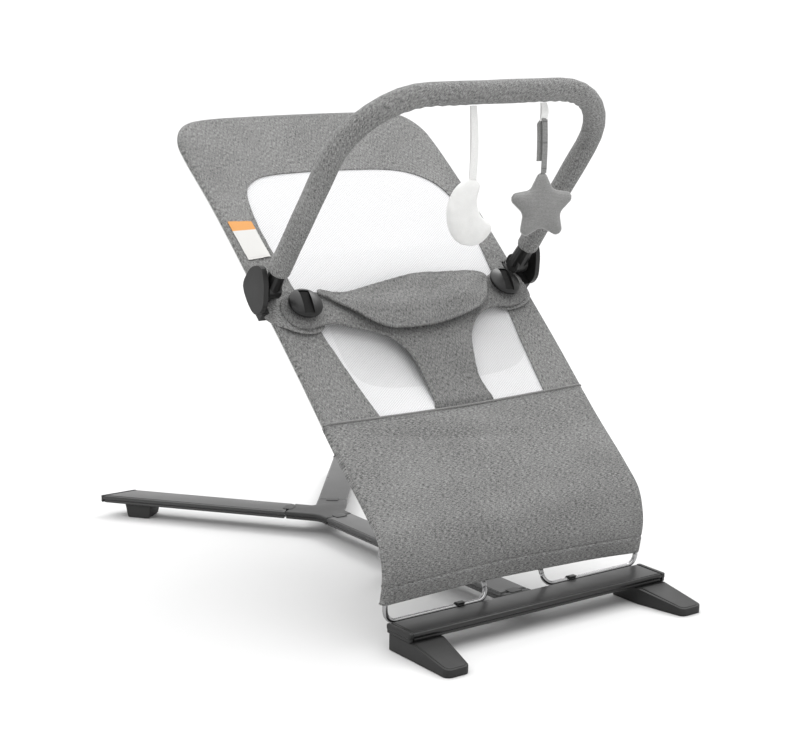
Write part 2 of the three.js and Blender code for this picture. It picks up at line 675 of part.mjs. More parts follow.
const SLEEVE_START = 31;

function makeBarSocket(side) {
  const middle = side * BAR_LEG_X;
  const disc = rodX(13, middle - 9, middle + 9, BAR_HINGE_Y, BAR_HINGE_Z, 20);
  const plug = new THREE.CylinderGeometry(11, 12.5, SLEEVE_START - GAP, 16)
    .translate(0, (SLEEVE_START - GAP) / 2, 0)
    .rotateX(BAR_ANGLE).translate(middle, BAR_HINGE_Y, BAR_HINGE_Z);
  const bore = rodX(4.9, middle - 20, middle + 20, BAR_HINGE_Y, BAR_HINGE_Z, 16);
  return cut(join(disc, plug), bore);
}

// The bracket's shield, as (y, z) from the toy bar's hinge.
const SHIELD_EDGE = [[-21, 0], [-17, -20], [-3, -30], [10, -26], [29, 2], [18, 20], [6, 29],
  [-13, 31], [-20, 19]];

function makeBracket(side) {
  const edge = new THREE.CatmullRomCurve3(SHIELD_EDGE.map(([y, z]) =>
    new THREE.Vector3(BAR_HINGE_Y + y, BAR_HINGE_Z + z, 0)), true, 'centripetal');
  const shield = new THREE.Shape(edge.getPoints(SHIELD_EDGE.length * 4).slice(0, -1)
    .map((point) => new THREE.Vector2(point.x, point.y)));
  const span = (a, b) => [Math.min(side * a, side * b), Math.max(side * a, side * b)];
  const plate = sideways(shield, ...span(211.5, 218.5));
  const pin = rodX(4.5, ...span(185, 213), BAR_HINGE_Y, BAR_HINGE_Z, 16);
  const s = 331;
  const clamp = new THREE.BoxGeometry(25.5, 38, 14)
    .applyMatrix4(seatMatrix(s, -RAIL_DROP - 1, side * 200));
  const railBore = new THREE.CylinderGeometry(WIRE_RADIUS + 0.5, WIRE_RADIUS + 0.5, 90, 12)
    .applyMatrix4(seatMatrix(s, -RAIL_DROP, side * RAIL_X));
  return cut(join(plate, pin, clamp), railBore);
}

function buildToyBar() {
  const path = barPath(SLEEVE_START);
  place('toy_bar_core', rodAlong(path, BAR_TUBE_RADIUS, 40, 6), blackPlastic);
  place('toy_bar_sleeve', rodAlong(path, SLEEVE_RADIUS, 40, 10, BAR_TUBE_RADIUS + 3 * GAP),
    darkFabric);
  pair('toy_bar_socket', makeBarSocket, blackPlastic);
  pair('toy_bar_bracket', makeBracket, charcoalPlastic);
}

// ---------------------------------------------------------------- hanging toys
// Two layers of ribbon, sewn into the seam under the bar, that hang down to the toy.
function makeRibbon(x, drop) {
  const centre = onBar(x, BAR_REACH);
  const top = -SLEEVE_RADIUS - 2 * GAP;
  return box(RIBBON_WIDTH, RIBBON_DEPTH, top + drop, 0, 0, (top - drop) / 2)
    .translate(x, centre.y, centre.z);
}

// The grey strap between the white loop and the star's top point.
function makeStarStrap(x) {
  const centre = onBar(x, BAR_REACH);
  const top = centre.z - STAR_RIBBON_DROP - GAP;
  const bottom = centre.z - TOY_DROP + STAR_RADIUS + GAP;
  return box(8, 2.4, top - bottom, x, centre.y, (top + bottom) / 2);
}

// A crescent that opens upwards to the right: a round back and a smaller round bite.
function makeMoon(x) {
  const centre = onBar(x, BAR_REACH);
  const edge = [[12, 38], [-8, 35], [-25, 21], [-31, 1], [-27, -20], [-13, -35], [6, -39],
    [24, -32], [36, -18], [28, -9], [17, -3], [11, 8], [12, 22]];
  const outline = new THREE.CatmullRomCurve3(
    edge.map(([px, pz]) => new THREE.Vector3(px, pz, 0)), true, 'centripetal').getPoints(39);
  return lengthways(new THREE.Shape(outline.slice(0, -1).reverse()
    .map((p) => new THREE.Vector2(p.x, p.y))), -14, 14).translate(x, centre.y, centre.z - TOY_DROP);
}

function makeStar(x) {
  const centre = onBar(x, BAR_REACH);
  const outline = new THREE.Shape();
  for (let i = 0; i < 10; i += 1) {
    const angle = Math.PI / 2 + i * Math.PI / 5;
    const radius = i % 2 === 0 ? STAR_RADIUS : STAR_RADIUS * 0.53;
    const point = [radius * Math.cos(angle), radius * Math.sin(angle)];
    if (i === 0) outline.moveTo(...point);
    else outline.lineTo(...point);
  }
  return lengthways(outline, -12, 12).translate(x, centre.y, centre.z - TOY_DROP);
}

function buildToys() {
  place('moon_ribbon', makeRibbon(MOON_X, TOY_DROP - 40), ribbonWhite);
  place('moon', makeMoon(MOON_X), whitePlush);
  place('star_ribbon', makeRibbon(STAR_X, STAR_RIBBON_DROP), ribbonWhite);
  place('star_strap', makeStarStrap(STAR_X), greyPlush);
  place('star', makeStar(STAR_X), greyPlush);
}

// ---------------------------------------------------------------- the whole seat
buildBase();
buildFrame();
buildProp();
buildCover();
buildHarness();
buildToyBar();
buildToys();

export default bouncer;
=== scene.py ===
"""A folding baby bouncer seat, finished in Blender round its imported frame.

Lengths are metres. X is across the seat, the sitter faces -Y, Z is up. Places on the sling are
given as (x, s): x across, s along the sitting line from the head edge down to the toes.
"""
import json
from contextlib import contextmanager
from math import cos, pi, radians, sin, tan

import bmesh
import bpy
import numpy as np
from mathutils import Matrix, Vector


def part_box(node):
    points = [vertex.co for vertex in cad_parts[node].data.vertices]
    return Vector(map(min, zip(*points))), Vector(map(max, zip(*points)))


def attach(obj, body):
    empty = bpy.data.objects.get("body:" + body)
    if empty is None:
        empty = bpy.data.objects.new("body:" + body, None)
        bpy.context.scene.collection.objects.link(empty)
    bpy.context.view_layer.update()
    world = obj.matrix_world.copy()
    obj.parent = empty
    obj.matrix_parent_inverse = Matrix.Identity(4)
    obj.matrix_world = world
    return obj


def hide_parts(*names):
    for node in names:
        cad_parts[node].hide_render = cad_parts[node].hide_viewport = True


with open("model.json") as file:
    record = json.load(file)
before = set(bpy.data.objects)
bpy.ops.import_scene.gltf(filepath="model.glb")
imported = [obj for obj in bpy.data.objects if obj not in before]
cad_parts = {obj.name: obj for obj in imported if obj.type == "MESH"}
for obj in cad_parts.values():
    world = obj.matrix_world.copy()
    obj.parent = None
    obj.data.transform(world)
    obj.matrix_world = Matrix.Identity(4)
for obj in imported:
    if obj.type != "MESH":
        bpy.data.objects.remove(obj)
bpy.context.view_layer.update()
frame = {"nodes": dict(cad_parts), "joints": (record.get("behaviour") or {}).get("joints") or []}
MM = 0.001
JOINTS = {joint["name"]: joint for joint in frame["joints"]}
HINGE = Vector(JOINTS["seat_recline"]["pos_m"])
BAR_HINGE = Vector(JOINTS["toy_bar_swing"]["pos_m"])
TOY_SEAM_DROP = 15.1 * MM         # from the toy bar's middle down to the seam that holds the toys
BAR_TOP = Vector(JOINTS["moon_swing"]["pos_m"]) + Vector((0, 0, TOY_SEAM_DROP))
HOOP_PIVOT = Vector(JOINTS["prop_swing"]["pos_m"])
SIDES = ((-1, "left"), (1, "right"))


# ------------------------------------------------------------------ camera and light
CAMERA_TURN = radians(-35.46)
CAMERA_RISE = radians(12.22)
CAMERA_ROLL = radians(0.335)
CAMERA_DISTANCE = 2.2211
CAMERA_LENS = 81.43
LOOK_AT = Vector((-0.0989, -0.1753, 0.2959))


def make_camera():
    data = bpy.data.cameras.new("camera")
    data.lens = CAMERA_LENS
    data.sensor_width = 36
    camera = bpy.data.objects.new("camera", data)
    bpy.context.scene.collection.objects.link(camera)
    back = Vector((sin(CAMERA_TURN) * cos(CAMERA_RISE), -cos(CAMERA_TURN) * cos(CAMERA_RISE),
                   sin(CAMERA_RISE)))
    camera.location = LOOK_AT + back * CAMERA_DISTANCE
    camera.rotation_euler = (back.to_track_quat("Z", "Y").to_matrix()
                             @ Matrix.Rotation(CAMERA_ROLL, 3, "Z")).to_euler()
    bpy.context.scene.camera = camera


def add_light(name, kind, place, aim, power, **settings):
    data = bpy.data.lights.new(name, kind)
    data.energy = power
    for key, value in settings.items():
        setattr(data, key, value)
    light = bpy.data.objects.new(name, data)
    light.location = place
    light.rotation_euler = (Vector(place) - Vector(aim)).to_track_quat("Z", "Y").to_euler()
    bpy.context.scene.collection.objects.link(light)


def make_world():
    """A white room that is bright round the horizon and dimmer overhead."""
    world = bpy.data.worlds.new("studio")
    bpy.context.scene.world = world
    world.use_nodes = True
    tree = world.node_tree
    height = tree.nodes.new("ShaderNodeSeparateXYZ")
    tree.links.new(tree.nodes.new("ShaderNodeTexCoord").outputs["Generated"], height.inputs[0])
    ramp = tree.nodes.new("ShaderNodeValToRGB")
    tree.links.new(height.outputs["Z"], ramp.inputs["Fac"])
    for element, (position, value) in zip(ramp.color_ramp.elements, ((0.10, 1.12), (0.55, 0.62))):
        element.position = position
        element.color = (value, value, value, 1)
    tree.links.new(ramp.outputs["Color"], tree.nodes["Background"].inputs["Color"])
    tree.nodes["Background"].inputs["Strength"].default_value = 1.0


def make_studio():
    make_world()
    add_light("overhead bounce", "SUN", (0.1, 0.25, 2), (0, 0, 0), 3.2, angle=radians(100))
    add_light("key softbox", "AREA", (1.1, 0.5, 1.9), (0.05, -0.1, 0.35), 10, size=0.7)
    bpy.ops.mesh.primitive_plane_add(size=400, location=(0, 0, 0))
    floor = bpy.context.object
    floor.name = "floor"
    paint = bpy.data.materials.new("pale floor")
    paint.use_nodes = True
    shader = paint.node_tree.nodes["Principled BSDF"]
    shader.inputs["Base Color"].default_value = (0.66, 0.66, 0.66, 1)
    shader.inputs["Roughness"].default_value = 1.0
    shader.inputs["Specular IOR Level"].default_value = 0.0
    floor.data.materials.append(paint)
    bpy.context.scene.view_settings.view_transform = "Standard"


# ------------------------------------------------------------------ material tools
def grey(value):
    return (value, value, value * 0.985)


class Finish:
    """A node material under construction: a principled shader and the nodes that feed it."""

    def __init__(self, name, colour, rough, **settings):
        self.material = bpy.data.materials.new(name)
        self.material.use_nodes = True
        self.tree = self.material.node_tree
        self.shader = self.tree.nodes["Principled BSDF"]
        self.set("Base Color", colour)
        self.set("Roughness", rough)
        for socket, value in settings.items():
            self.set(socket.replace("_", " "), value)

    def set(self, socket, value):
        value = (*value, 1) if isinstance(value, tuple) else value
        self.shader.inputs[socket].default_value = value

    def node(self, kind, inputs=None, **settings):
        node = self.tree.nodes.new(kind)
        for key, value in settings.items():
            setattr(node, key, value)
        for key, value in (inputs or {}).items():
            if isinstance(value, bpy.types.NodeSocket):
                self.tree.links.new(value, node.inputs[key])
            else:
                node.inputs[key].default_value = value
        return node

    def coordinates(self, kind, stretch, turn=0.0):
        """Object or UV coordinates, scaled by stretch (cycles per metre along each axis)."""
        where = self.node("ShaderNodeTexCoord").outputs[kind]
        for change in ({"Rotation": (0, 0, turn)}, {"Scale": stretch}):
            where = self.node("ShaderNodeMapping", {"Vector": where, **change}).outputs["Vector"]
        return where

    def axes(self, where):
        return self.node("ShaderNodeSeparateXYZ", {0: where}).outputs

    def noise(self, stretch, detail=2.0, rough=0.5, kind="Object", turn=0.0):
        """Noise that is stretched alike along all the axes, or by its own number along each."""
        if not isinstance(stretch, tuple):
            stretch = (stretch,) * 3
        return self.node("ShaderNodeTexNoise", {
            "Vector": self.coordinates(kind, stretch, turn), "Scale": 1.0, "Detail": detail,
            "Roughness": rough}).outputs["Fac"]

    def math(self, operation, first, second=0.0):
        return self.node("ShaderNodeMath", {0: first, 1: second}, operation=operation).outputs[0]

    def total(self, *parts):
        """The sum of some outputs, each times its own weight."""
        terms = [self.math("MULTIPLY", output, weight) for output, weight in parts]
        for term in terms[1:]:
            terms[0] = self.math("ADD", terms[0], term)
        return terms[0]

    def ramp(self, value, *stops):
        node = self.node("ShaderNodeValToRGB", {"Fac": value})
        for _ in range(len(stops) - 2):
            node.color_ramp.elements.new(0.5)
        for element, (position, colour) in zip(node.color_ramp.elements, stops):
            element.position = position
            element.color = (*colour, 1)
        return node.outputs["Color"]

    def mix(self, factor, first, second, **settings):
        return self.node("ShaderNodeMix", {"Factor": factor, "A": first, "B": second},
                         data_type="RGBA", **settings).outputs["Result"]

    def link(self, output, socket):
        self.tree.links.new(output, self.shader.inputs[socket])

    def mottle(self, pattern, darkest, lightest):
        """A grey that drifts with the pattern."""
        self.link(self.ramp(pattern, (0.3, grey(darkest)), (0.7, grey(lightest))), "Base Color")

    def wear(self, pattern, smoothest, roughest):
        """A roughness that drifts with the pattern."""
        self.link(self.ramp(pattern, (0.3, (smoothest,) * 3), (0.7, (roughest,) * 3)), "Roughness")

    def bump(self, height, strength, distance):
        node = self.node("ShaderNodeBump", {"Height": height, "Strength": strength,
                                            "Distance": distance})
        self.link(node.outputs["Normal"], "Normal")


def melange(name, low, high, turn=0.0):
    """Heathered woven cloth: light and dark yarns with long flecks, crossed by finer threads."""
    cloth = Finish(name, grey((low + high) / 2), 0.92, Sheen_Weight=0.08, Sheen_Roughness=0.5,
                   Specular_IOR_Level=0.15)

    def layer(across, along, detail, rough):
        return cloth.noise((across, along, 1), detail, rough, "UV", turn)

    flecks, threads = layer(1250, 210, 3.0, 0.6), layer(260, 1500, 3.0, 0.6)
    specks, cloud = layer(2200, 2200, 1.0, 0.5), layer(14, 10, 2.0, 0.5)
    yarns = cloth.total((flecks, 0.50), (threads, 0.32), (specks, 0.18))
    mixed = cloth.total((yarns, 0.94), (cloud, 0.06))
    cloth.link(cloth.ramp(mixed, (0.43, grey(low)), (0.5, grey(low * 0.5 + high * 0.5)),
                          (0.57, grey(high))), "Base Color")
    cloth.bump(yarns, 0.25, 0.0004)
    return cloth.material


# Where the mesh is painted darker behind the harness, partly a second layer showing through and
# partly painted shade of the harness and the hollow under it: axis, middle and half size.
SECOND_LAYER_AND_SHADE = (("X", 0.012, 0.140), ("Y", 0.414, 0.066))


def air_mesh(name):
    """White spacer mesh: rows of small round holes in a knitted face. Behind the harness it is
    painted a little darker, with round lower corners: partly a second, see-through layer, partly
    painted shade of the harness and the hollow under it.
    """
    cloth = Finish(name, grey(0.6), 0.85, Sheen_Weight=0.1, Specular_IOR_Level=0.2)
    holes = cloth.node("ShaderNodeTexVoronoi", {
        "Vector": cloth.coordinates("UV", (400, 400, 1), 0.6), "Scale": 1.0, "Randomness": 0.10},
        voronoi_dimensions="2D").outputs["Distance"]
    where = cloth.axes(cloth.node("ShaderNodeTexCoord").outputs["UV"])
    reach = []
    for axis, middle, half in SECOND_LAYER_AND_SHADE:
        across = cloth.math("DIVIDE", cloth.math("SUBTRACT", where[axis], middle), half)
        reach.append(cloth.math("POWER", cloth.math("ABSOLUTE", across), 4.0))
    # The darker patch is partly a second layer and partly painted shade of the harness.
    shade = cloth.ramp(cloth.math("ADD", *reach), (0.94, (0.9, 0.9, 0.9)), (1.0, (1, 1, 1)))
    face = cloth.ramp(holes, (0.12, (0.42, 0.42, 0.424)), (0.38, (0.69, 0.69, 0.698)))
    cloth.link(cloth.mix(1.0, face, shade, blend_type="MULTIPLY"), "Base Color")
    cloth.bump(holes, 0.6, 0.0008)
    return cloth.material


def moulded(name, value, rough=0.48, grain=0.25):
    """Moulded plastic with a fine spark-eroded texture and slightly uneven gloss."""
    plastic = Finish(name, grey(value), rough, Specular_IOR_Level=0.38)
    broad = plastic.noise(22, 3.0, 0.55)
    plastic.wear(broad, rough - 0.05, rough + 0.08)
    plastic.mottle(broad, value * 0.93, value * 1.07)
    plastic.bump(plastic.noise(1500, 2.0, 0.6), grain, 0.0001)
    return plastic.material


def painted(name, value, rough=0.3, gloss=0.6):
    """Satin powder coat on steel tube: a faint orange peel and slightly uneven gloss."""
    paint = Finish(name, grey(value), rough, Specular_IOR_Level=gloss, Coat_Weight=0.4 * gloss,
                   Coat_Roughness=0.22)
    broad = paint.noise(9, 3.0, 0.6)
    paint.wear(broad, rough - 0.05, rough + 0.07)
    paint.mottle(broad, value * 0.9, value * 1.1)
    paint.bump(paint.noise(420), 0.12, 0.0002)
    return paint.material


def metal(name, value, rough):
    """Plated or drawn steel with faint polishing marks."""
    plate = Finish(name, (value, value, value * 1.01), rough, Metallic=1.0)
    marks = plate.noise(90, 4.0, 0.6)
    plate.wear(marks, rough * 0.7, rough * 1.5)
    plate.bump(marks, 0.04, 0.0002)
    return plate.material


def plain_cloth(name, value, pitch=1100, sheen=0.1):
    """Fine plain-woven cloth or tape in one colour."""
    cloth = Finish(name, (value, value, value * 0.99), 0.88, Sheen_Weight=sheen,
                   Specular_IOR_Level=0.2)
    warp = cloth.noise((pitch, pitch * 0.35, pitch))
    cloth.mottle(warp, value * 0.93, value * 1.05)
    cloth.bump(warp, 0.4, 0.0004)
    return cloth.material


def plush(name, value):
    """Short soft pile."""
    pile = Finish(name, grey(value), 0.95, Sheen_Weight=0.35, Sheen_Roughness=0.4,
                  Specular_IOR_Level=0.1)
    pile.mottle(pile.noise(70), value * 0.96, value * 1.03)
    pile.bump(pile.noise(950, 3.0, 0.65), 0.5, 0.0008)
    return pile.material


def ribbed_jersey(name, value):
    """Fine jersey whose ribs run across the toy."""
    knit = Finish(name, grey(value), 0.9, Sheen_Weight=0.2, Specular_IOR_Level=0.15)
    height = knit.axes(knit.coordinates("Object", (90, 90, 620)))["Z"]
    ribs = knit.math("SINE", knit.total((height, 6.28), (knit.noise(60), 3.0)))
    heather = knit.noise((500, 500, 1500), 3.0, 0.6)
    mixed = knit.total((ribs, 0.09), (heather, 1.0))
    knit.link(knit.ramp(mixed, (0.32, grey(value * 0.78)), (0.68, grey(value * 1.2))), "Base Color")
    knit.bump(knit.math("ADD", ribs, heather), 0.35, 0.0005)
    return knit.material


LABEL_WHITE = (0.60, 0.595, 0.58)
LABEL_BAND = (0.62, 0.30, 0.10)


def label_cloth(name, low, high):
    """Off-white sewn label with one plain apricot band at its upper end."""
    cloth = Finish(name, LABEL_WHITE, 0.75, Specular_IOR_Level=0.25)
    height = cloth.axes(cloth.node("ShaderNodeTexCoord").outputs["Object"])["Z"]
    band = cloth.math("GREATER_THAN", height, low + (high - low) * 0.75)
    cloth.link(cloth.mix(band, (*LABEL_WHITE, 1), (*LABEL_BAND, 1)), "Base Color")
    cloth.bump(cloth.noise(1300), 0.3, 0.0003)
    return cloth.material


# ------------------------------------------------------------------ modelling tools
def set_material(piece, material):
    piece.data.materials.clear()
    piece.data.materials.append(material)


def only(piece):
    bpy.ops.object.select_all(action="DESELECT")
    piece.select_set(True)
    bpy.context.view_layer.objects.active = piece


def smooth(piece, angle=50):
    only(piece)
    bpy.ops.object.shade_smooth_by_angle(angle=radians(angle))


def modify(piece, kind, **settings):
    modifier = piece.modifiers.new(kind.lower(), kind)
    for key, value in settings.items():
        setattr(modifier, key, value)
    only(piece)
    bpy.ops.object.modifier_apply(modifier=modifier.name)


@contextmanager
def editing(piece):
    """Edit mode, with the whole piece selected."""
    only(piece)
    bpy.ops.object.mode_set(mode="EDIT")
    bpy.ops.mesh.select_all(action="SELECT")
    yield
    bpy.ops.object.mode_set(mode="OBJECT")


def tidy_shell(piece):
    """Merges doubled corners and turns every face outwards."""
    with editing(piece):
        bpy.ops.mesh.remove_doubles(threshold=1e-5)
        bpy.ops.mesh.normals_make_consistent(inside=False)


def joined(name, pieces):
    only(pieces[0])
    for piece in pieces[1:]:
        piece.select_set(True)
    bpy.ops.object.join()
    pieces[0].name = name
    return pieces[0]


def formed_grid(name, across, along, place):
    """A sheet of across by along faces. place takes u and v, arrays from 0 to 1, and gives the
    points' x, y and z and the cloth's own flat coordinates in metres, which become its UV map.
    """
    bpy.ops.mesh.primitive_grid_add(x_subdivisions=across, y_subdivisions=along, size=1,
                                    calc_uvs=True, location=(0, 0, 0))
    piece = bpy.context.object
    piece.name = name
    flat = read_points(piece)
    points, cloth = place(flat[:, 0] + 0.5, flat[:, 1] + 0.5)
    write_points(piece, points)
    write_cloth(piece, cloth)
    return piece


def read_points(piece):
    points = np.empty(len(piece.data.vertices) * 3)
    piece.data.vertices.foreach_get("co", points)
    return points.reshape(-1, 3)


def write_points(piece, columns):
    piece.data.vertices.foreach_set("co", np.column_stack(np.broadcast_arrays(*columns)).ravel())
    piece.data.update()


def write_cloth(piece, columns):
    """Stores flat cloth coordinates, one pair for each vertex, as the UV map."""
    mesh = piece.data
    layer = mesh.uv_layers[0] if mesh.uv_layers else mesh.uv_layers.new(name="cloth")
    corners = np.empty(len(mesh.loops), int)
    mesh.loops.foreach_get("vertex_index", corners)
    flat = np.column_stack(np.broadcast_arrays(*columns))
    layer.data.foreach_set("uv", flat[corners].ravel())


def turn_towards(piece, direction):
    """Flips an open sheet whose faces look away from direction."""
    mesh = piece.data
    normals = np.empty(len(mesh.polygons) * 3)
    mesh.polygons.foreach_get("normal", normals)
    if (normals.reshape(-1, 3) @ np.array(direction)).sum() < 0:
        with editing(piece):
            bpy.ops.mesh.flip_normals()


def thicken(piece, depth):
    """Gives an open sheet its thickness, behind the face it shows."""
    modify(piece, "SOLIDIFY", thickness=depth, offset=-1, use_even_offset=False)
    smooth(piece, 60)


def spline(points, t):
    """A Catmull-Rom curve through points, read at t from 0 to 1 (an array)."""
    keys = np.array(points, float)
    keys = np.vstack([2 * keys[0] - keys[1], keys, 2 * keys[-1] - keys[-2]])
    pieces = len(points) - 1
    at = np.clip(np.asarray(t, float), 0, 1) * pieces
    i = np.minimum(at.astype(int), pieces - 1)
    f = (at - i)[..., None]
    a, b, c, d = keys[i], keys[i + 1], keys[i + 2], keys[i + 3]
    return 0.5 * (2 * b + (c - a) * f + (2 * a - 5 * b + 4 * c - d) * f ** 2
                  + (3 * b - a - 3 * c + d) * f ** 3)


def closed_outline(points, per_piece=8):
    """Points on a smooth closed curve through the given corners."""
    keys = list(points[-2:]) + list(points) + list(points[:3])
    count = len(keys) - 1
    t = np.arange(2 * per_piece, (2 + len(points)) * per_piece) / (count * per_piece)
    return spline(keys, t)


def mm(points):
    """Points given in millimetres."""
    return [(x * MM, y * MM) for x, y in points]


def smoothstep(value):
    value = np.clip(value, 0, 1)
    return value * value * (3 - 2 * value)


def rise(value, start, width):
    """Climbs smoothly from 0 at start to 1 at start + width."""
    return smoothstep((value - start) / width)


def ridge(value, middle, width):
    """A bell-shaped bump that is 1 at its middle."""
    return np.exp(-((value - middle) / width) ** 2)


def arch(value, start, end):
    """Half a sine wave from start to end, and 0 beyond them."""
    return np.sin(np.clip((value - start) / (end - start), 0, 1) * pi)


def curve_mesh(name, points, closed=False, **settings):
    """The mesh of a curve along the (x, y, z) points, with the given bevel settings."""
    curve = bpy.data.curves.new(name, "CURVE")
    for key, value in settings.items():
        setattr(curve, key, value)
    line = curve.splines.new("POLY")
    line.points.add(len(points) - 1)
    for corner, point in zip(line.points, points):
        corner.co = (*point, 1)
    line.use_cyclic_u = closed
    piece = bpy.data.objects.new(name, curve)
    bpy.context.scene.collection.objects.link(piece)
    only(piece)
    bpy.ops.object.convert(target="MESH")
    return piece


def rod(name, points, radius, sides=16):
    """A round wire along the points, with closed ends."""
    piece = curve_mesh(name, points, dimensions="3D", bevel_depth=radius,
                       bevel_resolution=sides // 4, use_fill_caps=True)
    smooth(piece)
    return piece


BEND_STEPS = 8
STRAIGHT_STEP = 20 * MM


def bent_path(corners, bend):
    """Straight runs between the corners, each corner rounded by an arc-like bend."""
    corners = [Vector(corner) for corner in corners]
    path = [corners[0]]
    for before, corner, after in zip(corners, corners[1:], corners[2:]):
        start = corner + (before - corner).normalized() * bend
        end = corner + (after - corner).normalized() * bend
        near, far = start.lerp(corner, 0.55), end.lerp(corner, 0.55)
        for i in range(BEND_STEPS + 1):
            t = i / BEND_STEPS
            path.append(start * (1 - t) ** 3 + near * 3 * t * (1 - t) ** 2
                        + far * 3 * t * t * (1 - t) + end * t ** 3)
    path.append(corners[-1])
    filled = [path[0]]
    for a, b in zip(path, path[1:]):
        steps = max(1, int((b - a).length / STRAIGHT_STEP))
        filled += [a.lerp(b, (i + 1) / steps) for i in range(steps)]
    return filled


# ------------------------------------------------------------------ the sitting line
# Side view of the sling's face, from the head edge to the hem, as (y, z) from the seat's hinge.
SITTING_LINE = [(511, 558), (462, 520), (379, 455), (274, 362), (176, 272), (87, 185.5),
                (26, 131), (-1, 102), (-11, 68), (-11, 49), (-7, 29)]


def centripetal(points, steps=60):
    """A dense centripetal Catmull-Rom curve through (y, z) points."""
    keys = np.array(points, float)
    keys = np.vstack([2 * keys[0] - keys[1], keys, 2 * keys[-1] - keys[-2]])
    out = []
    for a, b, c, d in zip(keys, keys[1:], keys[2:], keys[3:]):
        t1 = np.linalg.norm(b - a) ** 0.5
        t2 = t1 + np.linalg.norm(c - b) ** 0.5
        t3 = t2 + np.linalg.norm(d - c) ** 0.5
        for t in np.linspace(t1, t2, steps, endpoint=False):
            p1 = a + (b - a) * t / t1
            p2 = b + (c - b) * (t - t1) / (t2 - t1)
            p3 = c + (d - c) * (t - t2) / (t3 - t2)
            q1 = p1 + (p2 - p1) * t / t2
            q2 = p2 + (p3 - p2) * (t - t1) / (t3 - t1)
            out.append(q1 + (q2 - q1) * (t - t1) / (t2 - t1))
    return np.vstack([out, keys[-2]])


LINE = centripetal(SITTING_LINE) * MM + np.array([HINGE.y, HINGE.z])
LINE_S = np.r_[0, np.cumsum(np.linalg.norm(np.diff(LINE, axis=0), axis=1))]
LINE_DIRECTION = np.gradient(LINE, axis=0)
LINE_DIRECTION /= np.linalg.norm(LINE_DIRECTION, axis=1)[:, None]


def on_seat(x, s, height=0.0):
    """Columns x, y, z of points at (x, s), raised off the sitting line's surface."""
    x, s, height = np.broadcast_arrays(np.asarray(x, float), s, height)
    y, z = (np.interp(s, LINE_S, LINE[:, i]) for i in (0, 1))
    dy, dz = (np.interp(s, LINE_S, LINE_DIRECTION[:, i]) for i in (0, 1))
    beyond = np.minimum(s, 0) + np.maximum(s - LINE_S[-1], 0)
    return x, y + dy * beyond + height * dz, z + dz * beyond - height * dy


def seat_point(x, s, height=0.0):
    return Vector([float(value) for value in on_seat(x, s, height)])


def seat_matrix(x, s, height=0.0):
    """Local X across, local Y up the seat, local Z out of it."""
    up = (seat_point(x, s - 0.002) - seat_point(x, s + 0.002)).normalized()
    across = Vector((1, 0, 0))
    turn = Matrix((across, up, across.cross(up))).transposed().to_4x4()
    return Matrix.Translation(seat_point(x, s, height)) @ turn


# ------------------------------------------------------------------ driving sizes of the sling
WIRE = 3.25 * MM                  # the wires' radius
RAIL_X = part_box("side_rail_right")[1].x - WIRE
RAIL_DROP = 7.85 * MM             # from the sitting surface down to the wires' middle
RAIL_START = 76 * MM              # where the crown wire ends and the side rails go on
RAIL_END = 760 * MM               # where the side rails turn in under the sling
ROLL = 6.2 * MM                   # radius of the cloth rolled round the rails
SEAM = 520 * MM                   # where the cover meets the leg panel
BACK_BAR_S = 265 * MM             # where the sling lies against the cross member
SLACK_START, SLACK_END = 30 * MM, 600 * MM

RAIL_KEYS = [(-197, 520), (-197, 400), (-197, 280), (-197, 160), (-197, 76), (-192, 44),
             (-174, 20), (-140, 11.5), (-70, 9), (0, 8.5)]
RAIL_LINE = mm(RAIL_KEYS + [(-x, s) for x, s in RAIL_KEYS[-2::-1]])
OPENING_LINE = mm([(-119, 520), (-134, 430), (-149, 340), (-155, 250), (-154, 196), (-144, 150),
                   (-122, 128), (-92, 119.5), (-45, 117), (0, 117), (45, 118.5), (90, 122.5),
                   (126, 133), (155, 156), (169, 192), (170, 250), (160, 340), (150, 430),
                   (140, 520)])


def outward(line, t):
    """Unit direction away from the seat's middle, square to a head-loop line at t."""
    along = spline(line, np.clip(t + 0.002, 0, 1)) - spline(line, np.clip(t - 0.002, 0, 1))
    side = np.column_stack([along[:, 1], -along[:, 0]])
    return side / np.linalg.norm(side, axis=1)[:, None]


def between_rails(x):
    """1 at the sling's middle, falling to 0 at the rails."""
    return np.clip(1 - (x / RAIL_X) ** 2, 0, 1)


def slack(x, s):
    """How far the unloaded cloth hangs below a flat plane between the rails."""
    above = 4.0 * arch(s, SLACK_START, BACK_BAR_S)
    below = 15.0 * arch(s, BACK_BAR_S, SLACK_END) ** 2
    return -(above + below) * MM * between_rails(x) ** 1.3


def puckers(x, s):
    """Small soft creases that run out from the brackets and the harness tongues."""
    pull = 0
    for side in (-1, 1):
        dx, ds = (x - side * 0.185) / 0.075, (s - 0.335) / 0.12
        near = np.exp(-(dx ** 2 + ds ** 2))
        pull = pull + near * np.sin(s * 210 + side * x * 60) * 0.7 * MM
    return pull + 0.35 * MM * np.sin(s * 46 + x * 14) * np.sin(x * 31 + 1.3)


# ------------------------------------------------------------------ shaping plates and slabs
def filled_curve(name, outline, half_depth, rounding=0.0):
    """A flat outline of (x, y) points made solid, with rounded rims, lying in the XY plane."""
    return curve_mesh(name, [(x, y, 0) for x, y in outline], True, dimensions="2D",
                      fill_mode="BOTH", extrude=half_depth - rounding, bevel_depth=rounding,
                      bevel_resolution=3, offset=-rounding)


def place_mesh(piece, matrix):
    piece.data.transform(matrix)
    piece.data.update()
    return piece


def plate(name, outline, low, high, rounding, matrix):
    """A rounded solid between two heights over an outline of (x, y) points."""
    piece = filled_curve(name, outline, (high - low) / 2, rounding)
    place_mesh(piece, matrix @ Matrix.Translation((0, 0, (low + high) / 2)))
    tidy_shell(piece)
    smooth(piece, 40)
    return piece


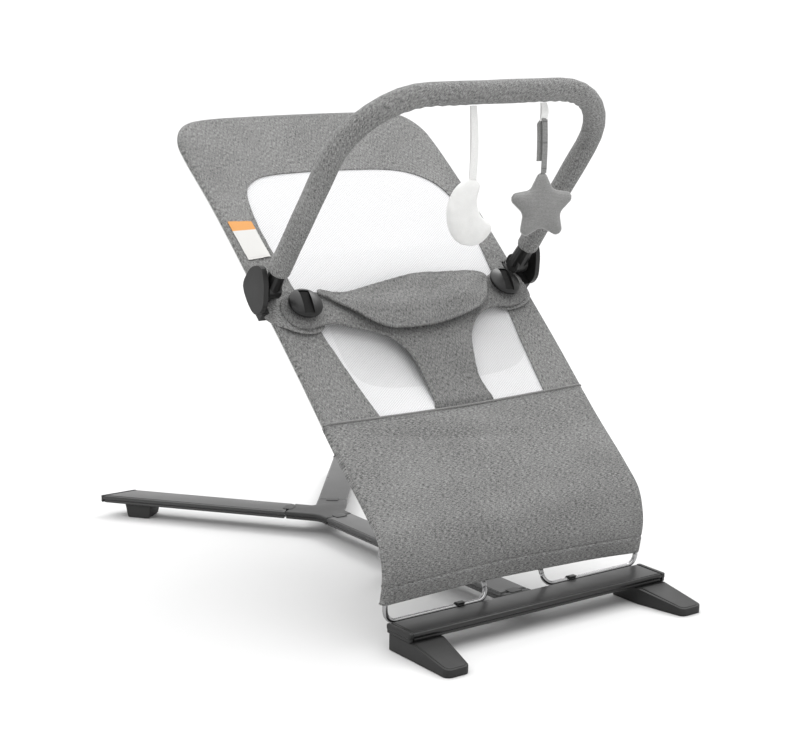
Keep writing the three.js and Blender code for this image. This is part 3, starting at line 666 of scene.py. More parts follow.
def round_corners(points, radius, steps=5):
    """The outline with each corner turned into an arc; radius is one length or one per corner."""
    count = len(points)
    radii = radius if isinstance(radius, (list, tuple)) else [radius] * count
    out = []
    for i, point in enumerate(points):
        corner = Vector(point)
        before = (Vector(points[i - 1]) - corner).normalized()
        after = (Vector(points[(i + 1) % count]) - corner).normalized()
        if radii[i] <= 0:
            out.append(tuple(corner))
            continue
        half = before.angle(after) / 2
        reach = radii[i] / tan(half)
        start, end = corner + before * reach, corner + after * reach
        middle = corner + (before + after).normalized() * radii[i] / sin(half)
        for k in range(steps + 1):
            arm = (start - middle).lerp(end - middle, k / steps).normalized()
            out.append(tuple(middle + arm * radii[i]))
    return out


def rounded(points, radius, steps=5):
    """round_corners for points and radius in millimetres."""
    radius = [r * MM for r in radius] if isinstance(radius, list) else radius * MM
    return round_corners(mm(points), radius, steps)


def rectangle(x0, x1, y0, y1):
    return [(x0, y0), (x1, y0), (x1, y1), (x0, y1)]


def inset(outline, margin):
    """A convex or gently dented outline, moved inwards."""
    count = len(outline)
    area = sum(outline[i - 1][0] * outline[i][1] - outline[i][0] * outline[i - 1][1]
               for i in range(count))
    side = 1 if area > 0 else -1
    out = []
    for i in range(count):
        before = (Vector(outline[i]) - Vector(outline[i - 1])).normalized()
        after = (Vector(outline[(i + 1) % count]) - Vector(outline[i])).normalized()
        normal = Vector((-(before.y + after.y), before.x + after.x)).normalized() * side
        stretch = max(0.4, normal.dot(Vector((-after.y, after.x)) * side))
        out.append(tuple(Vector(outline[i]) + normal * margin / stretch))
    return out


def cloth_slab(name, outline, cell, depth=4):
    """Even small faces over an outline of (x, y): the piece, its x, y and level, and each point's
    distance inside the outline. level runs from -1 underneath to 1 on top.
    """
    half = cell * depth / 2
    piece = filled_curve(name, outline, half)
    modify(piece, "REMESH", mode="VOXEL", voxel_size=cell, use_smooth_shade=True)
    points = read_points(piece)
    level = np.clip(points[:, 2] / half, -1, 1)
    return piece, points[:, 0].copy(), points[:, 1].copy(), level, edge_distance(points, outline)


def seat_slab(name, outline, cell, shape, depth=4, angle=70):
    """A cloth slab over an outline of (x, s), laid on the sling. shape gives its height from x, s,
    the level and the distance inside the outline.
    """
    outline = [(x, -s) for x, s in outline]
    piece, x, y, level, distance = cloth_slab(name, outline, cell, depth)
    write_points(piece, on_seat(x, -y, shape(x, -y, level, distance)))
    write_cloth(piece, (x, -y))
    smooth(piece, angle)
    return piece


def edge_distance(points, outline):
    """How far each point lies from the outline's nearest edge."""
    starts = np.array(outline)
    steps = np.roll(starts, -1, axis=0) - starts
    lengths = np.maximum((steps ** 2).sum(1), 1e-12)
    nearest = np.full(len(points), 1.0)
    for start, step, length in zip(starts, steps, lengths):
        gap = points[:, :2] - start
        along = np.clip(gap @ step / length, 0, 1)
        nearest = np.minimum(nearest, np.linalg.norm(gap - along[:, None] * step, axis=1))
    return nearest


def rounded_rim(distance, width):
    """0 at the outline, rising like a quarter circle to 1 at width inside it."""
    across = np.clip(1 - distance / width, 0, 1)
    return np.sqrt(np.clip(1 - across ** 2, 0, 1))


# ------------------------------------------------------------------ the sling's cloth pieces
def claim(piece, material, body, slot, *nodes):
    """The finish, the body it rides on, and the CAD nodes that the piece stands for."""
    set_material(piece, material)
    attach(piece, body)
    if nodes:
        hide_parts(*nodes)
    return piece


COVER_WRAP = radians(84)          # how far round the rail the grey face goes before the lining
HEM_WIDTH = 9 * MM
CLOTH = 1.5 * MM
NOTCH_EDGE = 185 * MM             # the cover is cut away here, round the brackets
NOTCH_SPAN = (308 * MM, 355 * MM)


def in_notch(x, s):
    return (np.abs(x) > NOTCH_EDGE) & (s > NOTCH_SPAN[0]) & (s < NOTCH_SPAN[1])


def roll_round(walked, flat, radius):
    """Distance out and drop of cloth that lies flat, then rolls round the rail."""
    angle = np.maximum(walked - flat, 0) / radius
    return np.minimum(walked, flat) + radius * np.sin(angle), radius * (1 - np.cos(angle))


def hem_relief(distance):
    """A folded and topstitched edge, seen as a low step with a stitched groove beside it."""
    step = 1 - rise(distance, HEM_WIDTH, 2 * MM)
    return 0.7 * MM * (step - ridge(distance, HEM_WIDTH - 2.5 * MM, 0.9 * MM))


def make_cover(material):
    def place(u, v):
        inner, outer = spline(OPENING_LINE, v), spline(RAIL_LINE, v)
        span = outer - inner
        flat = np.linalg.norm(span, axis=1)
        walked = u * (flat + COVER_WRAP * ROLL)
        out, drop = roll_round(walked, flat, ROLL)
        inside = np.minimum(out, flat)
        where = (inner + span * (inside / flat)[:, None]
                 + outward(RAIL_LINE, v) * (out - inside)[:, None])
        x, s = where.T
        fade = smoothstep((flat - out) / (25 * MM))
        height = (ROLL - RAIL_DROP - drop + slack(x, s) + hem_relief(walked)
                  + puckers(x, s) * fade)
        return on_seat(x, s, height), (x, s)

    piece = formed_grid("sling_cover", 64, 430, place)
    drop_faces(piece, in_notch)
    turn_towards(piece, (0, -1, 1))
    thicken(piece, CLOTH)
    claim(piece, material, "seat", "grey_melange", "seat_cover")


def drop_faces(piece, unwanted):
    """Deletes the faces whose cloth coordinates are unwanted."""
    mesh = piece.data
    flat = np.empty(len(mesh.loops) * 2)
    mesh.uv_layers[0].data.foreach_get("uv", flat)
    middles = flat.reshape(len(mesh.polygons), -1, 2).mean(axis=1)
    doomed = set(np.nonzero(unwanted(*middles.T))[0])
    shell = bmesh.new()
    shell.from_mesh(mesh)
    shell.faces.ensure_lookup_table()
    bmesh.ops.delete(shell, geom=[shell.faces[i] for i in doomed], context="FACES")
    shell.to_mesh(mesh)
    shell.free()


def make_mesh_panel(material):
    rows = np.array([108, 150, 200, 250, 340, 430, 525]) * MM
    left = np.array([134, 154, 164, 165, 159, 144, 128]) * MM
    right = np.array([136, 164, 179, 180, 170, 160, 149]) * MM

    def place(u, v):
        s = rows[0] + (rows[-1] - rows[0]) * v
        x = -np.interp(s, rows, left) * (1 - u) + np.interp(s, rows, right) * u
        middle = 1 - np.abs(2 * u - 1) ** 6
        level = ROLL - RAIL_DROP - CLOTH - 0.3 * MM
        return on_seat(x, s, level + 1.1 * MM * middle + slack(x, s) + ripple(x, s)), (x, s)

    def ripple(x, s):
        drag = (np.sin(x * 52 + s * 9) * 0.7 + np.sin(x * 23 - s * 41)) * MM
        return drag * rise(s, 0.33, 0.1) * np.clip(1 - (x / left.max()) ** 2, 0, 1)

    piece = formed_grid("air_mesh_panel", 110, 150, place)
    turn_towards(piece, (0, -1, 1))
    thicken(piece, 0.8 * MM)
    claim(piece, material, "seat", "white_mesh", "mesh_panel")


LINING_ROLL = 5.7 * MM
LINING_START = radians(74)        # how far round the rail the upper part starts
LINING_WRAP = radians(100)        # and the lower part
LINING_JOIN = 515 * MM
LINING_END = 742 * MM


def make_lining(material):
    def place(u, v):
        outer = spline(RAIL_LINE, v)
        inner = spline(OPENING_LINE, v)
        away = outward(RAIL_LINE, v)
        span = inner - outer
        flat = np.linalg.norm(span, axis=1) - 5 * MM
        arc = (pi - LINING_START) * LINING_ROLL
        walked = u * (arc + flat)
        angle = LINING_START + np.minimum(walked, arc) / LINING_ROLL
        past = np.maximum(walked - arc, 0)
        where = (outer + away * (LINING_ROLL * np.sin(angle))[:, None]
                 + span / np.linalg.norm(span, axis=1)[:, None] * past[:, None])
        x, s = where.T
        height = LINING_ROLL * np.cos(angle) - RAIL_DROP + slack(x, s) * 0.6
        return on_seat(x, s, height), (x, s)

    upper = formed_grid("rear_lining_cloth", 40, 300, place)
    drop_faces(upper, in_notch)

    def place_lower(u, v):
        s = LINING_JOIN + v * (LINING_END - LINING_JOIN)
        x, height = rolled_section(2 * u - 1, LINING_ROLL, LINING_WRAP, under=True)
        return on_seat(x, s, height + slack(x, s) * 0.6), (x, s)

    lower = formed_grid("rear_lining_lower", 70, 60, place_lower)
    turn_towards(upper, (0, 1, -1))
    turn_towards(lower, (0, 1, -1))
    piece = joined("rear_lining_cloth", [upper, lower])
    thicken(piece, 1.0 * MM)
    claim(piece, material, "seat", "pale_lining", "rear_lining")


def rolled_section(across, radius, wrap, under=False):
    """x and height across the sling for across from -1 to 1: flat between the rails, rolled
    round each of them by the angle wrap; under gives the layer behind the rails.
    """
    turn = pi - wrap if under else wrap
    total = RAIL_X + turn * radius
    walked = np.abs(across) * total
    angle = np.maximum(walked - RAIL_X, 0) / radius
    x = np.minimum(walked, RAIL_X) + radius * np.sin(angle)
    lift = radius * np.cos(angle)
    return np.sign(across) * x, (-lift if under else lift) - RAIL_DROP


LEG_WRAP = radians(112)
LEG_START = SEAM + 1.5 * MM
LEG_END = 773 * MM
LEG_HEM = 24 * MM                 # from the bottom edge up to the stitch line


def leg_creases(x, s):
    """Soft folds across the leg panel: a few broad ones and two sharper ones near its top."""
    broad = 0.9 * np.sin(x * 27 + s * 33) + 0.7 * np.sin(x * 11 - s * 71 + 2)
    level_fold = 1.6 * ridge(s, 0.545 + 0.03 * np.sin(x * 9), 0.012) * np.sin(x * 16 + 1)
    slanted_fold = 1.5 * ridge(s, 0.560 + 0.16 * (x + 0.06), 0.007) * smoothstep(-x / 0.1 + 0.9)
    return (broad + level_fold - slanted_fold) * MM


def leg_sewing(across, s):
    """The stitched edges of the leg panel and its rounded bottom edge."""
    fold = LEG_END - s
    grooves = (0.5 * ridge(np.abs(across), 0.90, 0.004) + 1.0 * ridge(fold, LEG_HEM, 1.2 * MM)
               + 0.6 * ridge(s, SEAM + 7 * MM, 1.1 * MM))
    return (0.8 * smoothstep((LEG_HEM - fold) / (3 * MM)) - grooves
            - 2.4 * (1 - rounded_rim(fold, 3 * MM))) * MM


def make_leg_panel(material):
    def place(u, v):
        s = LEG_START + v * (LEG_END - LEG_START)
        x, height = rolled_section(2 * u - 1, ROLL, LEG_WRAP)
        middle = between_rails(x)
        bulge = 1.5 * MM * arch(s, SEAM, SEAM + 0.17) * middle
        pull = 3.5 * MM * x / RAIL_X - 6 * MM * middle
        height = (height + slack(x, s) + bulge + leg_creases(x, s) * middle
                  + leg_sewing(2 * u - 1, s))
        return on_seat(x, s + pull * rise(s, 0.62, 0.13), height), (x, s)

    piece = formed_grid("leg_panel_cloth", 170, 200, place)
    turn_towards(piece, (0, -1, 1))
    thicken(piece, 2.2 * MM)
    claim(piece, material, "seat", "grey_melange", "leg_panel")


def make_seam_piping(material):
    x, height = rolled_section(np.linspace(-1, 1, 60), ROLL, radians(56))
    lift = height + slack(x, SEAM) + 0.5 * MM
    points = [seat_point(a, SEAM + 0.5 * MM, h) for a, h in zip(x, lift)]
    piece = rod("seam_piping_cord", points, 1.5 * MM, 12)
    claim(piece, material, "seat", "dark_melange", "seam_piping")


LABEL_EDGE = [(-197, 199), (-162, 201), (-161.5, 263), (-195, 265)]


def make_label(material):
    def shape(x, s, level, distance):
        loose = rise(s, 0.235, 0.028) * rise(x, -0.185, 0.02)
        stitch = 0.35 * ridge(distance, 2 * MM, 0.7 * MM)
        return ROLL - RAIL_DROP + slack(x, s) + (0.9 + 0.35 * level + loose - stitch) * MM

    piece = seat_slab("sewn_label", round_corners(mm(LABEL_EDGE), 1.2 * MM), 0.9 * MM, shape, 2, 60)
    claim(piece, material, "seat", "label_cloth", "care_label")


# ------------------------------------------------------------------ harness
HARNESS_LIFT = 5.0 * MM
BODY_EDGE = [(-29, 530), (-28, 504), (-28, 471), (-37, 430), (-62, 403), (-100, 389), (-121, 382),
             (-140, 382), (-165, 385), (-184, 375), (-190, 355), (-181, 336), (-158, 327),
             (-126, 331), (-106, 339), (-60, 344), (0, 340), (60, 336), (112, 334), (133, 337),
             (152, 331), (172, 332), (190, 341), (196, 357), (190, 374), (170, 385), (150, 387),
             (131, 384), (108, 388), (87, 403), (68, 430), (57, 471), (57, 504), (56, 530)]
FLAP_EDGE = [(-128, 331), (-108, 337), (-84, 338), (-38, 330), (24, 321), (67, 323), (112, 326),
             (133, 333), (134, 345), (110, 379), (82, 393), (25, 405), (-25, 406), (-57, 401),
             (-80, 385), (-101, 365), (-120, 345), (-131, 340)]


def strap_lift(x, s):
    """The harness stands off the sling at its middle, and its strap dives under the leg panel."""
    to_seam = rise(s, 0.43, 0.075)
    to_tab = rise(np.abs(x), 0.12, 0.05)
    lift = HARNESS_LIFT * (1 - 0.1 * to_tab) * (1 - to_seam) + 0.6 * MM * to_seam
    dive = 6.6 * MM * rise(s, 0.509, 0.015)
    return lift - dive + (0.4 + 0.6 * to_seam) * slack(x, s)


def quilted(level, distance, half, rim):
    """Half thickness either side of the middle, rounded off at the rim."""
    return level * half * (0.3 + 0.7 * rounded_rim(distance, rim))


def stitching(level, distance, middle, width):
    """The groove of a row of stitches on a slab's upper face."""
    return ridge(distance, middle, width) * (level > 0)


def make_harness_body(material):
    def shape(x, s, level, distance):
        creases = (0.9 * np.sin(s * 150 + x * 40) * ridge(np.abs(x), 0.115, 0.03)
                   + 0.8 * np.sin(x * 120 + s * 20) * ridge(s, 0.425, 0.03)) * MM
        return (strap_lift(x, s) + 1.6 * MM * smoothstep(distance / (26 * MM)) + creases
                + quilted(level, distance, 2.1 * MM, 2.6 * MM)
                - 0.9 * MM * stitching(level, distance, 5.5 * MM, 1.1 * MM))

    piece = seat_slab("harness_body_cloth", closed_outline(mm(BODY_EDGE)), 2.1 * MM, shape)
    claim(piece, material, "seat", "grey_melange", "harness_body")


def make_harness_flap(material):
    def shape(x, s, level, distance):
        crown = 3.2 * MM * smoothstep(distance / (34 * MM)) + 5.5 * MM * rise(s, 0.345, 0.03)
        creases = (0.8 * np.sin(x * 75 + s * 110) + 0.5 * np.sin(x * 34 - s * 60)) * MM
        return (strap_lift(x, s) + 7.0 * MM + crown
                + creases * smoothstep(distance / (12 * MM))
                + quilted(level, distance, 1.9 * MM, 2.5 * MM)
                - 0.8 * MM * stitching(level, distance, 5 * MM, MM))

    piece = seat_slab("harness_flap_cloth", closed_outline(mm(FLAP_EDGE)), 2.0 * MM, shape)
    claim(piece, material, "seat", "grey_melange", "harness_flap")


TONGUE_EDGE = [(128, 352), (138, 338), (160, 331), (186, 330), (203, 338), (208, 352), (202, 368),
               (188, 382), (168, 389), (148, 388), (133, 377)]


def make_side_tongue(side, name, material):
    def shape(x, s, level, distance):
        round_rail = np.maximum(np.abs(x) - 188 * MM, 0) ** 2 * 26
        return (2.4 * MM + slack(x, s) - round_rail + quilted(level, distance, 1.3 * MM, 3 * MM)
                - 0.5 * MM * stitching(level, distance, 4 * MM, MM))

    outline = closed_outline(mm([(x * side, s) for x, s in TONGUE_EDGE]))
    piece = seat_slab(f"side_tongue_cloth_{name}", outline, 1.8 * MM, shape, 3)
    claim(piece, material, "seat", "dark_melange", f"side_tongue_{name}")


DISC_X = 158 * MM
DISC_S = 354 * MM
DISC_RADIUS = 22.5 * MM
DISC_LIFT = 12.9 * MM
DISC_TILT = (-0.17, 0.06)         # about the way it faces, and outwards
DISC_STEPS = ((2.0, 1.0), (5.0, 2.2), (5.0, 1.2), (5.0, 0.5))      # width and height of each


def make_toggle_disc(side, name, plastic, webbing):
    """A domed button with a raised rim, a slot across it and the strap that shows in the slot."""
    bpy.ops.mesh.primitive_cylinder_add(vertices=72, radius=DISC_RADIUS, depth=4 * MM,
                                        location=(0, 0, 2 * MM))
    disc = bpy.context.object
    with editing(disc):
        select_top_faces(disc)
        for margin, lift in DISC_STEPS:
            bpy.ops.mesh.inset(thickness=margin * MM, depth=lift * MM)
    modify(disc, "BEVEL", width=1.2 * MM, segments=3, limit_method="ANGLE", angle_limit=radians(50))
    bpy.ops.mesh.primitive_cube_add(size=1, location=(0, 0, 7 * MM),
                                    scale=(13.5 * MM, 36 * MM, 9 * MM))
    slot = bpy.context.object
    modify(disc, "BOOLEAN", operation="DIFFERENCE", object=slot, solver="EXACT")
    bpy.data.objects.remove(slot)
    seat = (seat_matrix(side * DISC_X, DISC_S, DISC_LIFT) @ Matrix.Rotation(DISC_TILT[0], 4, "Z")
            @ Matrix.Rotation(side * DISC_TILT[1], 4, "Y"))
    place_mesh(disc, seat)
    tidy_shell(disc)
    smooth(disc, 35)
    disc.name = f"toggle_button_{name}"
    body = f"toggle_{name}"
    claim(disc, plastic, body, "black_plastic", f"toggle_disc_{name}")
    edge = rounded(rectangle(-6.4, 6.4, -17.6, 17.6), 0.6, 2)
    strap = plate(f"toggle_webbing_{name}", edge, 2.6 * MM, 4.4 * MM, 0.4 * MM, seat)
    claim(strap, webbing, body, "black_plastic")


def select_top_faces(piece):
    """In edit mode, selects the faces that look straight up, and no others."""
    bpy.ops.mesh.select_mode(type="FACE")
    bpy.ops.mesh.select_all(action="DESELECT")
    shell = bmesh.from_edit_mesh(piece.data)
    for face in shell.faces:
        face.select = face.normal.z > 0.9
    shell.select_flush(True)
    bmesh.update_edit_mesh(piece.data)


# ------------------------------------------------------------------ toy bar
BAR_LEAN = radians(128.6)
BAR_ALONG = Vector((0, cos(BAR_LEAN), sin(BAR_LEAN)))
BAR_LEG_X = 196 * MM
BAR_REACH = (BAR_TOP - BAR_HINGE).length
SLEEVE = 14.3 * MM
SLEEVE_START = 30.9 * MM
BAR_BEND = 100 * MM


def bar_point(x, reach):
    return BAR_HINGE + Vector((x, 0, 0)) + BAR_ALONG * reach


def make_sleeve(material):
    corners = [bar_point(x, reach) for x, reach in
               ((BAR_LEG_X, SLEEVE_START), (BAR_LEG_X, BAR_REACH), (-BAR_LEG_X, BAR_REACH),
                (-BAR_LEG_X, SLEEVE_START))]
    path = np.array([tuple(point) for point in bent_path(corners, BAR_BEND)])
    walked = np.r_[0, np.cumsum(np.linalg.norm(np.diff(path, axis=0), axis=1))]
    length = walked[-1]
    face = np.array(BAR_ALONG.cross(Vector((1, 0, 0))))

    def middle_line(a):
        return np.column_stack([np.interp(a, walked, path[:, i]) for i in range(3)])

    def place(u, v):
        a = v * length
        centre = middle_line(a)
        along = middle_line(a + 3 * MM) - middle_line(a - 3 * MM)
        along /= np.linalg.norm(along, axis=1)[:, None]
        inward = np.cross(along, face)
        to_middle = np.array(bar_point(0, BAR_REACH - 0.12)) - centre
        inward *= np.sign((inward * to_middle).sum(1))[:, None]
        angle = u * 2 * pi
        facing = np.cos(angle)
        end = np.minimum(a, length - a)
        radius = SLEEVE - 2.6 * MM * (1 - rounded_rim(end, 5 * MM))
        corner = ridge(end, 0.335, 0.055)
        fold = np.sin(a * 2 * pi / 0.017 + np.sin(angle) * 1.5) * np.clip(facing, 0, 1) ** 1.5
        slub = np.sin(a * 61 + angle * 2) * np.sin(a * 23 + 1)
        seam = ridge(np.abs(angle - pi), pi - 0.62, 0.10)
        radius = radius + (0.9 * fold * corner + 0.25 * slub - 1.1 * seam) * MM
        side = face * np.sin(angle)[:, None] + inward * facing[:, None]
        points = centre + side * radius[:, None]
        return points.T, (angle * SLEEVE, a)

    piece = formed_grid("toy_bar_sleeve_cloth", 56, 560, place)
    tidy_shell(piece)
    modify(piece, "SOLIDIFY", thickness=1.8 * MM, offset=-1, use_even_offset=False)
    smooth(piece, 60)
    claim(piece, material, "toy_bar", "dark_melange", "toy_bar_sleeve")


# ------------------------------------------------------------------ hanging toys
TOY_DROP = 140 * MM
MOON_X = JOINTS["moon_swing"]["pos_m"][0]
STAR_X = JOINTS["star_swing"]["pos_m"][0]
MOON_EDGE = [(9, 39), (-6, 38), (-22, 27), (-31, 6), (-29, -16), (-16, -34), (3, -40), (20, -36),
             (32, -24), (31, -14), (21, -8), (13, 1), (9, 15), (14, 31)]
MOON_TURN = radians(4)
STAR_TURN = radians(-17)


def toy_frame(x, turn):
    """Local X to the right, local Y up and local Z towards the front, turned on its ribbon."""
    upright = Matrix(((1, 0, 0), (0, 0, -1), (0, 1, 0))).to_4x4()
    return (Matrix.Translation((x, BAR_TOP.y, BAR_TOP.z - TOY_DROP))
            @ Matrix.Rotation(turn, 4, "Z") @ upright)


def stuffed(name, outline, matrix, half, rim, cell, wrinkle):
    """A stuffed toy: two faces that swell from the seam round the outline."""
    piece, x, y, level, distance = cloth_slab(name, outline, cell, 6)
    swell = half * (0.1 + 0.9 * rounded_rim(distance, rim)) + wrinkle(x, y, distance)
    z = np.sign(level) * np.abs(level) ** 0.8 * swell
    write_points(piece, (x, y, z))
    modify(piece, "SMOOTH", factor=0.6, iterations=4)
    write_cloth(piece, read_points(piece)[:, :2].T)
    place_mesh(piece, matrix)
    smooth(piece, 80)
    return piece


def make_moon(material):
    def wrinkle(x, y, distance):
        return 0.5 * MM * np.sin(np.arctan2(y, x - 0.02) * 9) * np.exp(-distance / (5 * MM))

    piece = stuffed("moon_toy_plush", closed_outline(mm(MOON_EDGE), 6),
                    toy_frame(MOON_X, MOON_TURN), 14 * MM, 20 * MM, 1.8 * MM, wrinkle)
    claim(piece, material, "moon_toy", "white_plush", "moon")


STAR_RADIUS = 49 * MM
STAR_WAIST = 0.50


def make_star(material, thread):
    points = []
    for i in range(10):
        angle = pi / 2 + i * pi / 5
        radius = STAR_RADIUS if i % 2 == 0 else STAR_RADIUS * STAR_WAIST
        points.append((radius * cos(angle), radius * sin(angle)))
    outline = round_corners(points, [6.5 * MM, 12 * MM] * 5, 6)

    def wrinkle(x, y, distance):
        arm = np.cos(5 * (np.arctan2(y, x) - pi / 2))
        return 0.55 * MM * np.sin(x * 260 + y * 150) * np.exp(-distance / (6 * MM)) * (arm < 0.2)

    matrix = toy_frame(STAR_X, STAR_TURN)
    piece = stuffed("star_toy_jersey", outline, matrix, 14.5 * MM, 24 * MM, 1.7 * MM, wrinkle)
    claim(piece, material, "star_toy", "grey_plush", "star")
    path = [matrix @ Vector((x, y, 0)) for x, y in inset(outline, -0.3 * MM)]
    seam = rod("star_seam_thread", path + path[:1], 0.7 * MM, 8)
    claim(seam, thread, "star_toy", "white_ribbon")


RIBBON_WIDTH = 9 * MM
STRAP_WIDTH = 8 * MM
STRAP_TOP = 32 * MM               # the strap's upper end, below the toy bar's middle
STRAP_BEHIND = 0.78               # length of its rear layer, as a part of the front one


def make_ribbon(name, x, drop, sway, material, body, node):
    """Two layers of ribbon, sewn into the seam under the bar, that hang down to the toy."""
    def place(u, v):
        across = (u - 0.5) * RIBBON_WIDTH
        tail = drop - TOY_SEAM_DROP
        down = tail * (1 - np.abs(2 * v - 1))
        side = np.where(v < 0.5, 1.0, -1.0)
        apart = (0.7 + 1.5 * np.sin(down / tail * pi) ** 2) * MM
        twist = sway * np.sin(down / tail * pi * 0.7)
        bow = -6 * MM * np.sin(down / tail * pi) * sway
        depth = side * apart * smoothstep((tail - down) / (2 * MM) + 0.2)
        px = x + across * np.cos(twist) - depth * np.sin(twist) + bow
        py = BAR_TOP.y + across * np.sin(twist) + depth * np.cos(twist)
        return (px, py, BAR_TOP.z - TOY_SEAM_DROP + 1.5 * MM - down), (across, v * 2 * tail)

    piece = formed_grid(name, 8, 120, place)
    tidy_shell(piece)
    modify(piece, "SOLIDIFY", thickness=0.5 * MM, offset=0)
    smooth(piece, 60)
    claim(piece, material, body, "white_ribbon", node)


def make_star_strap(material, thread):
    """A grey strap folded over the ribbon's end: a front layer, and a shorter one behind it."""
    top, low = STRAP_TOP, TOY_DROP - STAR_RADIUS + 8 * MM

    def place(u, v):
        across = (u - 0.5) * STRAP_WIDTH
        folded = v * (1 + STRAP_BEHIND) * (low - top)
        front = v * (1 + STRAP_BEHIND) < 1
        down = np.where(front, low - top - folded, folded - (low - top))
        apart = smoothstep(down / (8 * MM))
        gap = np.where(front, -1.5, 1.0 + 1.2 * apart) * MM
        aside = np.where(front, 1.2, 1.2 - 5.0 * apart) * MM
        bow = 1.2 * MM * np.sin(down / (low - top) * pi)
        return ((STAR_X + across + aside + bow, BAR_TOP.y + gap, BAR_TOP.z - top - down),
                (across, folded))

    piece = formed_grid("star_strap_cloth", 8, 110, place)
    modify(piece, "SOLIDIFY", thickness=1.1 * MM, offset=0)
    smooth(piece, 60)
    claim(piece, material, "star_toy", "grey_plush", "star_strap")
    rows = []
    for level in (top + 4 * MM, top + 30 * MM, low - 6 * MM):
        ends = [Vector((STAR_X + (1.8 + reach) * MM, BAR_TOP.y - 2.2 * MM, BAR_TOP.z - level))
                for reach in (-3.6, 3.6)]
        rows.append(rod("stitch", ends, 0.35 * MM, 8))
    stitches = joined("star_strap_stitches", rows)
    claim(stitches, thread, "star_toy", "grey_plush")


# ------------------------------------------------------------------ flat base
BASE_Y = HINGE.y - 30 * MM        # the crossbar's middle line
JOINT_GAP = 0.3 * MM              # shadow line between a tube and its moulding
BAR_WIDTH = 43.5 * MM
BAR_LOW, BAR_HIGH = 20 * MM, 31 * MM
CROSS_LOW, CROSS_HIGH = 21.5 * MM, 32.5 * MM
CROSS_WIDTH = 48 * MM
CROSS_END = 194 * MM
HUB_Y = 453 * MM
LEG_SPLAY = radians(38.6)
LEG_LENGTH = 322 * MM
HUB_STEM_ARM = 27 * MM
HUB_LEG_ARM = 58 * MM
STEM_START = 34 * MM


def beaded(name, outline, low, high, matrix, groove=True):
    """A flat bar: a rounded upper bead, a narrower lip under it and a groove inside the rim."""
    seam = low + (high - low) * 0.36
    parts = [plate("upper", outline, seam, high - 0.5 * MM, 3.0 * MM, matrix),
             plate("lip", inset(outline, 1.3 * MM), low, seam + 0.3 * MM, 1.4 * MM, matrix)]
    if groove:
        parts.append(plate("face", inset(outline, 2.9 * MM), high - 3 * MM, high, 0.5 * MM,
                           matrix))
    return joined(name, parts)


def base_matrix(y=0.0, turn=0.0):
    return Matrix.Translation((0, BASE_Y + y, 0)) @ Matrix.Rotation(turn, 4, "Z")


def make_crossbar(paint, plastic):
    half = CROSS_WIDTH / 2
    end = CROSS_END - JOINT_GAP
    bar = beaded("crossbar_tube", rectangle(-end, end, -half, half), CROSS_LOW, CROSS_HIGH,
                 base_matrix())
    claim(bar, paint, "base", "bar_paint", "crossbar")
    middle = CROSS_LOW + 4 * MM
    for side, name in SIDES:
        outline = round_corners(rectangle(side * CROSS_END, side * 0.2, -half, half),
                                [0, 3 * MM, 3 * MM, 0])
        cap = joined(f"crossbar_end_cap_{name}", [
            plate("upper", outline, middle, CROSS_HIGH - 0.4 * MM, 1.5 * MM, base_matrix()),
            plate("lip", inset(outline, 0.6 * MM), CROSS_LOW, middle + 0.3 * MM, 0.6 * MM,
                  base_matrix())])
        claim(cap, plastic, "base", "charcoal_plastic", f"crossbar_cap_{name}")


def leg_outline(side):
    """The rear leg in the hub's frame: square to itself at the hub, square to the seat behind."""
    end = LEG_LENGTH * cos(LEG_SPLAY)
    along = Vector((side * sin(LEG_SPLAY), cos(LEG_SPLAY)))
    across = Vector((along.y, -along.x)) * (BAR_WIDTH / 2)
    start = along * (HUB_LEG_ARM + JOINT_GAP)
    corners = []
    for near in (start - across, start + across):
        corners.append([tuple(near), tuple(near + along * ((end - near.y) / along.y))])
    return corners[0] + corners[1][::-1]


def make_rear_leg(side, name, paint, plastic, rubber):
    outline = leg_outline(side)
    leg = beaded(f"rear_leg_tube_{name}", outline, BAR_LOW, BAR_HIGH, base_matrix(HUB_Y))
    claim(leg, paint, "base", "bar_paint", f"rear_leg_{name}")
    (x0, y0), (x1, y1) = outline[1:3]
    slant = side * tan(LEG_SPLAY) * 3 * MM
    near, far = y0 + JOINT_GAP, y0 + 3.2 * MM
    cap = plate(f"rear_leg_end_cap_{name}",
                [(x0, near), (x1, near), (x1 + (slant if abs(x1) < abs(x0) else 0), far),
                 (x0 + (slant if abs(x0) < abs(x1) else 0), far)],
                BAR_LOW + 0.6 * MM, BAR_HIGH - 0.3 * MM, 1.0 * MM, base_matrix(HUB_Y))
    claim(cap, plastic, "base", "charcoal_plastic", f"rear_leg_cap_{name}")
    side_view = rounded([(264, 21), (269, 0), (302, 0), (306, 21)], [0.5, 3, 3, 0.5])
    upright = base_matrix(HUB_Y, pi / 2 - side * LEG_SPLAY) @ Matrix.Rotation(pi / 2, 4, "X")
    foot = plate(f"rear_foot_pad_{name}", side_view, -17 * MM, 17 * MM, 1.6 * MM, upright)
    claim(foot, rubber, "base", "foot_rubber", f"rear_foot_{name}")


def make_stem(paint, plastic):
    half = BAR_WIDTH / 2
    outline = rectangle(-half, half, STEM_START + JOINT_GAP, HUB_Y - HUB_STEM_ARM - JOINT_GAP)
    stem = beaded("stem_tube", outline, BAR_LOW, BAR_HIGH, base_matrix())
    claim(stem, paint, "base", "bar_paint", "stem")
    outline = rectangle(-half, half, CROSS_WIDTH / 2 + JOINT_GAP, STEM_START)
    collar = joined("stem_collar_moulding", [
        beaded("block", outline, BAR_LOW, BAR_HIGH + 0.4 * MM, base_matrix(), groove=False),
        tongue(base_matrix(STEM_START))])
    claim(collar, plastic, "base", "hub_plastic", "stem_collar")


